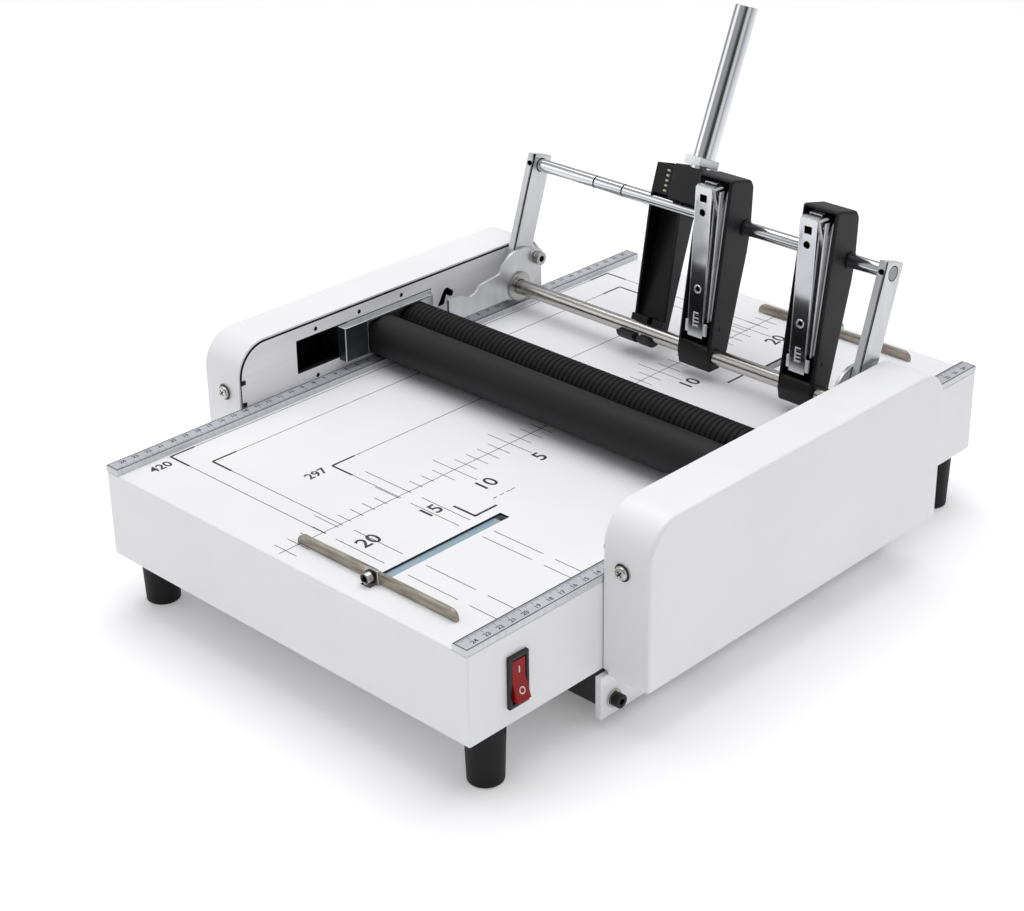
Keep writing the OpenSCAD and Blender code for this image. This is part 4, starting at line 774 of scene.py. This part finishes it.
# Lever: a black-coated steel channel hooked on both shafts, with a moulded block beside it that
# takes the chromed handle tube, locked by a thin nut at its foot. Cream plugs sit in the row of
# holes in the channel.
plug_low, plug_high, plug_tall = (-34.8, -4.1), (-32.1, -2.2), 1.4
plug_heights = (98.85, 102.45, 106.05, 109.65, 113.25)
black_coat = finish(
    "black_satin_coat", pale=(17, 17, 19), deep=(12, 12, 13), gloss=(0.34, 0.48),
    grain=1300, patches=14, relief=0.14, depth=0.00012, Specular_IOR_Level=0.32)
cream_plug = finish(
    "cream_plug", pale=(214, 206, 184), deep=(188, 180, 158), gloss=(0.5, 0.6),
    grain=900, patches=120, relief=0.1, depth=0.00004)
for node, material, width in (
    ("lever_channel", black_coat, 0.0004), ("handle_block", black_moulded, 0.0012),
    ("handle_tube", chrome, 0.0004), ("handle_nut", chrome, 0.0003),
):
    eased_part(node, node + "_formed", material, "stapling_frame", width, segments=3)
plugs = [formed_block((*plug_low, z), (*plug_high, z + plug_tall)) for z in plug_heights]
plugs[0].name = "lever_plugs"
joined(plugs[0], plugs[1:], cream_plug, "stapling_frame", swing)

# Staplers: black moulded bodies with well rounded sides, open in front, that sit on both shafts
# between spring clips. Two pairs of bright folded rails stand inside each, on the back wall.
stapler_lean = Matrix.Rotation(math.radians(9.3), 4, "X")
stapler_bores = ((0, 0, 0.0064), (0.01467, 0.0896, 0.0056), (-0.001, 0.020, 0.0025))
lip_y, lip_z = -0.0075, 0.0075
lip_round, outline_round, round_steps, stapler_edge = 0.003, 0.0018, 4, 0.0005
outer_lean = Matrix.Translation((0, -0.0062, 0.024)) @ Matrix.Rotation(math.radians(3.2), 4, "X")
inner_lean = Matrix.Translation((0, -0.0058, 0.026))
rail_sheets = ((8.5, outer_lean, 92), (10.6, inner_lean, 90))
rail_half, rail_deep, rail_roll = 0.3, 14, 0.62
rail_foot_low, rail_foot_high = (6, 27), (14.8, 38)
clip_edge = 0.0002
stapler_black = finish(
    "stapler_moulding", pale=(21, 21, 23), deep=(16, 16, 18), gloss=(0.36, 0.48),
    grain=1500, patches=18, relief=0.14, depth=0.0001, Specular_IOR_Level=0.3)
# Bright spring steel, also used as a painted highlight on the eased edges of the carriage hoods.
bright_spring_and_highlight = finish(
    "bright_spring_and_highlight", pale=(240, 240, 242), deep=(222, 222, 225), gloss=(0.22, 0.32),
    grain=500, patches=30, relief=0.05, depth=0.00003, metal=0.4)


def formed_rod(start, end, radius):
    """A thin rod between two points in millimetres, with its ends broken."""
    start, end = Vector(start) * mm, Vector(end) * mm
    clear_selection()
    bpy.ops.mesh.primitive_cylinder_add(vertices=20, radius=radius * mm, depth=(end - start).length,
                                        location=(start + end) / 2,
                                        rotation=(end - start).to_track_quat("Z", "Y").to_euler())
    set_in_place()
    ease_all(bpy.context.object, radius / 4 * mm)
    return bpy.context.object


stapler_seats = {}
for side in ("left", "right"):
    node = side + "_stapler_body"
    low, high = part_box(node)
    seat = swing @ Matrix.Translation(((low.x + high.x) / 2, 0, 0)) @ stapler_lean
    stapler_seats[side] = seat

    def on_outline(p):
        """The outside edges of both side walls, but not the rims of their bores."""
        at = seat.inverted() @ p
        outside = abs(abs(at.x) - (high.x - low.x) / 2) < on_face
        return outside and all(math.hypot(at.y - y, at.z - z) > r for y, z, r in stapler_bores)

    def on_lip(p):
        """The front edge of the lip below the magazine."""
        at = seat.inverted() @ p
        return math.hypot(at.y - lip_y, at.z - lip_z) < on_face

    moulding = solid_copy(node, node + "_moulding", stapler_black)
    ease_where(moulding, on_lip, lip_round, round_steps)
    ease_where(moulding, on_outline, outline_round, round_steps)
    ease_all(moulding, stapler_edge)
    stand_in(moulding, node, "stapling_frame")
    rails = []
    for hand in (-1, 1):
        for x, lean, top in rail_sheets:
            left, right = sorted((hand * (x - rail_half), hand * (x + rail_half)))
            sheet = [formed_block((left, 0, 0), (right, rail_deep, top)),
                     formed_rod((hand * x, 0, 0), (hand * x, 0, top), rail_roll)]
            for bent in sheet:
                bent.data.transform(lean)
            rails += sheet
            rails.append(formed_block((left, *rail_foot_low), (right, *rail_foot_high)))
    rails[0].name = side + "_rails"
    joined(rails[0], rails[1:], bright_spring_and_highlight, "stapling_frame", seat)
    level_faces(bpy.context.object)
for node in ("shaft_clips", "magazine_pins"):
    eased_part(node, node + "_set", black_oxide_and_shade, "stapling_frame", width=clip_edge)

# Magazines: mirror-chromed folded steel with rolled edges, hinged in the bodies. A cross pin holds
# the nose between two cheeks, an eyelet is riveted in the face, and a comb spring shows below it.
magazine_hinge = Matrix.Translation((0, -0.001, 0.020)) @ Matrix.Rotation(math.radians(6), 4, "X")
comb_front, comb_back, comb_top = -7.9, -7.2, 0.011
spine_left, spine_right, spine_low, spine_high = -2.3, -1.3, 0.2, 10.6
tooth_left, tooth_right, tooth_tall, teeth = -1.5, 2.3, 1.1, (0.4, 3.0, 5.6, 9.4)
nose_x, nose_wire = 7.0, 0.75
nose_wires = (((-5.6, 97.6), (1.6, 79)), ((9.4, 97.2), (2.4, 79)), ((-5.8, 98.2), (9.6, 98.2)))
nose_inside, nose_low = 0.0064, 0.078
cheek_inside, cheek_outside, cheek_edge = 6.2, 9.2, 0.0007
cheek_low, cheek_high = (-7.4, -5.8), (-5.4, 3.2)
rolled_x, rolled_y, rolled_low, rolled_high, rolled_radius = 6.45, -7.35, 4.5, 98.8, 0.5
cross_pins = ((1.8, 92.5, 1.3, 7.9), (4.0, 86, 0.9, 7.7), (-1.0, 86, 0.9, 7.7))
nose_blocks = (
    ((-6.2, -7.4, 99.3), (6.2, -2.6, 100.4), 0.0004),
    ((-5.4, -2.4, 99.3), (5.4, -0.7, 99.8), 0.0001),
    ((-4.8, -0.5, 99.3), (4.8, 8.4, 101.4), 0.0004),
)
gap_front, gap_back, gap_low, gap_high = -0.0025, -0.0006, 0.0992, 0.0999
eyelet_radius, eyelet_wire, eyelet_place = 0.0025, 0.0006, (0, -0.0078, 0.0272)
mirror_chrome = finish(
    "mirror_chrome", pale=(222, 223, 226), deep=(212, 213, 217), gloss=(0.07, 0.12),
    grain=300, patches=10, relief=0.01, depth=0.00002, metal=1.0)
rail_chrome = finish(
    "rail_chrome", pale=(236, 236, 238), deep=(222, 222, 226), gloss=(0.1, 0.18),
    grain=300, patches=10, relief=0.02, depth=0.00003, metal=1.0)
for side in ("left", "right"):
    node, body = side + "_magazine", "magazine_of_" + side + "_stapler"
    eased_part(node, node + "_shell", mirror_chrome, body)
    seat = stapler_seats[side] @ magazine_hinge
    fittings = [formed_block((spine_left, comb_front, spine_low), (spine_right, comb_back, spine_high))]
    for z in teeth:
        fittings.append(formed_block((tooth_left, comb_front, z), (tooth_right, comb_back, z + tooth_tall)))
    for hand in (-1, 1):
        for start, end in nose_wires:
            fittings.append(formed_rod((hand * nose_x, *start), (hand * nose_x, *end), nose_wire))
        left, right = sorted((hand * cheek_inside, hand * cheek_outside))
        fittings.append(formed_block((left, *cheek_low), (right, *cheek_high), cheek_edge))
        fittings.append(formed_rod((hand * rolled_x, rolled_y, rolled_low),
                                   (hand * rolled_x, rolled_y, rolled_high), rolled_radius))
    for y, z, radius, reach in cross_pins:
        fittings.append(formed_rod((-reach, y, z), (reach, y, z), radius))
    fittings += [formed_block(low, high, edge) for low, high, edge in nose_blocks]
    clear_selection()
    bpy.ops.mesh.primitive_torus_add(major_radius=eyelet_radius, minor_radius=eyelet_wire, major_segments=40,
                                     minor_segments=10, location=eyelet_place,
                                     rotation=(math.radians(90), 0, 0))
    set_in_place()
    fittings.append(bpy.context.object)
    fittings[0].name = node + "_fittings"

    def in_nose_gap(face):
        """The narrow block between the two bright ones on top of the nose, dark as painted shade."""
        at = seat.inverted() @ face.center
        return gap_front < at.y < gap_back and gap_low < at.z < gap_high

    def is_spring(face):
        """The comb spring and the wires of the nose."""
        at = seat.inverted() @ face.center
        return at.z < comb_top or (abs(at.x) > nose_inside and at.z > nose_low)

    fitted = joined(fittings[0], fittings[1:], rail_chrome, body, seat)
    second_finish(fitted, primer_and_shade, in_nose_gap)
    second_finish(fitted, bright_spring_and_highlight, is_spring)
    level_faces(fitted)

# Roller carriage: two machined steel ends that slide in the windows of the plates and carry the journals of
# both rollers in brass bushes. A bent hood on each closes the front and the top, with painted shade on its
# sides and front and a painted highlight on its eased edges.
hood_inside, hood_outside, hood_top = 154.2, 161.75, table_mm + 36.2
hood_front, hood_back, hood_foot, hood_edge = -52.3, -31.2, table_mm + 10.5, 0.0005
roof_front, roof_back, roof_under, edge_facing = -31.8, 30, table_mm + 34.8, 0.95
carriage_steel = finish(
    "carriage_steel", pale=(206, 207, 210), deep=(182, 184, 187), gloss=(0.24, 0.38),
    grain=420, patches=18, relief=0.14, depth=0.00005, metal=0.9, stretch=(1, 1, 12))
brass = finish(
    "brass_bush", pale=(196, 164, 96), deep=(168, 136, 74), gloss=(0.24, 0.38),
    grain=600, patches=40, relief=0.1, depth=0.00004, metal=1.0)
painted_hood_shade = finish(
    "painted_hood_shade", pale=(92, 95, 98), deep=(62, 64, 67), gloss=(0.26, 0.38),
    grain=420, patches=18, relief=0.1, depth=0.00004, metal=0.7)


# The sides and the front of a hood, which get painted shade.
def is_hood_face(face):
    return abs(face.normal.x) > square_on or face.normal.y < -square_on


# The eased edges of a hood, which get a painted highlight.
def is_hood_edge(face):
    return max(abs(n) for n in face.normal) < edge_facing


for node, material in (
    ("left_carriage", carriage_steel), ("right_carriage", carriage_steel), ("roller_bushes", brass),
):
    eased_part(node, node + "_end", material, "roller_carriage")
for side, name in ((-1, "left_hood"), (1, "right_hood")):
    left, right = sorted((side * hood_inside, side * hood_outside))
    front = formed_block((left, hood_front, hood_foot), (right, hood_back, hood_top), hood_edge)
    roof = formed_block((left, roof_front, roof_under), (right, roof_back, hood_top), broken_edge)
    front.name = name
    hood = joined(front, [roof], carriage_steel, "roller_carriage")
    second_finish(hood, painted_hood_shade, is_hood_face)
    second_finish(hood, bright_spring_and_highlight, is_hood_edge)
    level_faces(hood)

# Rollers: steel cores with black rubber sleeves, ground smooth on the front one and turned into
# close round ribs on the rear one, which grips the folded sheets.
smooth_edge, rib_edge, rib_shade = 0.0006, 0.0005, 0.0002
roller_rubber = finish(
    "roller_rubber", pale=(25, 25, 27), deep=(19, 19, 21), gloss=(0.5, 0.62),
    grain=1600, patches=16, relief=0.16, depth=0.00012, Specular_IOR_Level=0.28)
rib_rubber = finish(
    "rib_rubber", pale=(20, 20, 22), deep=(14, 14, 16), gloss=(0.5, 0.62),
    grain=1600, patches=24, relief=0.2, depth=0.00012, Specular_IOR_Level=0.2)
low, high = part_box("ribbed_roller_sleeve")
axis_y, axis_z, crest = (low.y + high.y) / 2, (low.z + high.z) / 2, (high.z - low.z) / 2


# The grooves between the ribs, which get painted shade.
def between_ribs(face):
    return math.hypot(face.center.y - axis_y, face.center.z - axis_z) < crest - rib_shade


eased_part("smooth_roller_sleeve", "smooth_sleeve", roller_rubber, "smooth_roller",
           width=smooth_edge, segments=3)
eased_part("ribbed_roller_sleeve", "ribbed_sleeve", rib_rubber, "ribbed_roller",
           width=rib_edge, others=[(primer_and_shade, between_ribs)])
for node, body in (("smooth_roller_core", "smooth_roller"), ("ribbed_roller_core", "ribbed_roller")):
    eased_part(node, node + "_turned", bush_steel, body)

# Drive inside the covers: moulded nylon gears for the rollers, cut steel quadrants, racks and
# pinions for the carriage, and the studs that carry them on the plates.
gear_edge = 0.00015
nylon = finish(
    "gear_nylon", pale=(232, 226, 208), deep=(216, 209, 188), gloss=(0.38, 0.5),
    grain=1200, patches=40, relief=0.1, depth=0.00006, Subsurface_Weight=0.05)
gear_steel = finish(
    "gear_steel", pale=(150, 152, 156), deep=(122, 124, 128), gloss=(0.3, 0.44),
    grain=700, patches=30, relief=0.12, depth=0.00005, metal=0.95)
for node, body, material in (
    ("smooth_roller_gear", "smooth_roller", nylon), ("ribbed_roller_gears", "ribbed_roller", nylon),
    ("idler_gear", "roller_idler", nylon), ("motor_gear", "motor_wheel", nylon),
    ("carriage_sectors", "stapling_frame", gear_steel), ("carriage_racks", "roller_carriage", gear_steel),
    ("carriage_pinions", "pinion_pair", gear_steel), ("gear_studs", "housing", bush_steel),
):
    eased_part(node, node + "_cut", material, body, gear_edge, segments=1, angle=40)

# Blade and its lift: a thin hardened blade that pushes the sheets up between the rollers, on a
# carrier raised by two small racks, with polished anvils for the staples beside it.
ground_edge = 0.00012
blade_steel = finish(
    "blade_steel", pale=(206, 208, 211), deep=(186, 188, 192), gloss=(0.14, 0.24),
    grain=500, patches=14, relief=0.08, depth=0.00003, metal=1.0, stretch=(1, 20, 20))
for node, body, material in (
    ("fold_blade", "blade", blade_steel), ("blade_carrier", "blade", gear_steel),
    ("lift_shaft", "blade_lift", gear_steel), ("blade_guides", "housing", black_moulded),
    ("lift_blocks", "housing", gear_steel), ("anvil_blocks", "housing", chrome),
):
    eased_part(node, node + "_ground", material, body, ground_edge, segments=1, angle=40)

# Electrics under the table: two small motors with plated cases, and a green board that hangs on
# four brass posts, with its black relay and capacitor below.
board_top, board_under = table_z - 0.0212, table_z - 0.0233
motor_case = finish(
    "motor_case", pale=(120, 122, 126), deep=(96, 98, 102), gloss=(0.34, 0.48),
    grain=800, patches=24, relief=0.12, depth=0.00006, metal=0.9)
board_green = finish(
    "board_green", pale=(30, 92, 58), deep=(20, 74, 44), gloss=(0.3, 0.44),
    grain=900, patches=50, relief=0.1, depth=0.00005, Coat_Weight=0.3)
for node in ("drive_motor", "blade_motor"):
    eased_part(node, node + "_unit", motor_case, "housing")
eased_part("control_board", "control_board_unit", board_green, "housing", others=[
    (black_moulded, lambda face: face.center.z < board_under),
    (brass, lambda face: face.center.z > board_top)])

# Paper stops: strips of zinc-plated steel on edge, with a bright square tab that runs down through
# the slot to a foot under the table. A plated cap screw with a black washer holds strip and tab,
# and a pale blue tape on the front foot closes the slot from below.
strip_edge, tab_deep = 0.00035, 0.0073
stop_washer_from, stop_washer_to = 0.0039, 0.0055
socket_radius, socket_deep = 0.00205, 0.003
tape_half, tape_gap, tape_long, tape_thick, tape_edge = 7, 0.2, 98, 0.4, 0.0001
tape_z = table_mm - 1.7
zinc_bar = finish(
    "zinc_strip", pale=(188, 180, 166), deep=(122, 116, 105), gloss=(0.36, 0.52),
    grain=500, patches=60, relief=0.18, depth=0.00008, metal=0.45, stretch=(1, 8, 8))
slot_tape = finish(
    "pale_blue_tape", pale=(158, 180, 193), deep=(142, 166, 181), gloss=(0.4, 0.55),
    grain=900, patches=40, relief=0.1, depth=0.00004)
for end, outward in (("front", -1), ("back", 1)):
    low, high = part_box(end + "_stop_screw")
    head = low.y if outward < 0 else high.y
    axis_x, axis_z = (low.x + high.x) / 2, (low.z + high.z) / 2

    def on_tab(face):
        return (face.center.y - head) * outward > -tab_deep and face.center.z > table_z

    def is_dark(face):
        """The black washer under the head, and the socket in it, which gets painted shade."""
        behind = abs(face.center.y - head)
        off_axis = math.hypot(face.center.x - axis_x, face.center.z - axis_z)
        in_socket = off_axis < socket_radius and behind < socket_deep
        return stop_washer_from < behind < stop_washer_to or in_socket

    eased_part(end + "_stop_bar", end + "_stop_strip", zinc_bar, end + "_stop",
               width=strip_edge, others=[(screw_zinc, on_tab)])
    eased_part(end + "_stop_screw", end + "_stop_cap_screw", screw_zinc, end + "_stop",
               others=[(black_oxide_and_shade, is_dark)])
low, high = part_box("front_stop_bar")
tape_x, tape_y = (low.x + high.x) / 2 / mm, high.y / mm
tape = formed_block((tape_x - tape_half, tape_y + tape_gap, tape_z - tape_thick),
                    (tape_x + tape_half, tape_y + tape_long, tape_z), tape_edge)
tape.name = "slot_tape"
joined(tape, [], slot_tape, "front_stop")
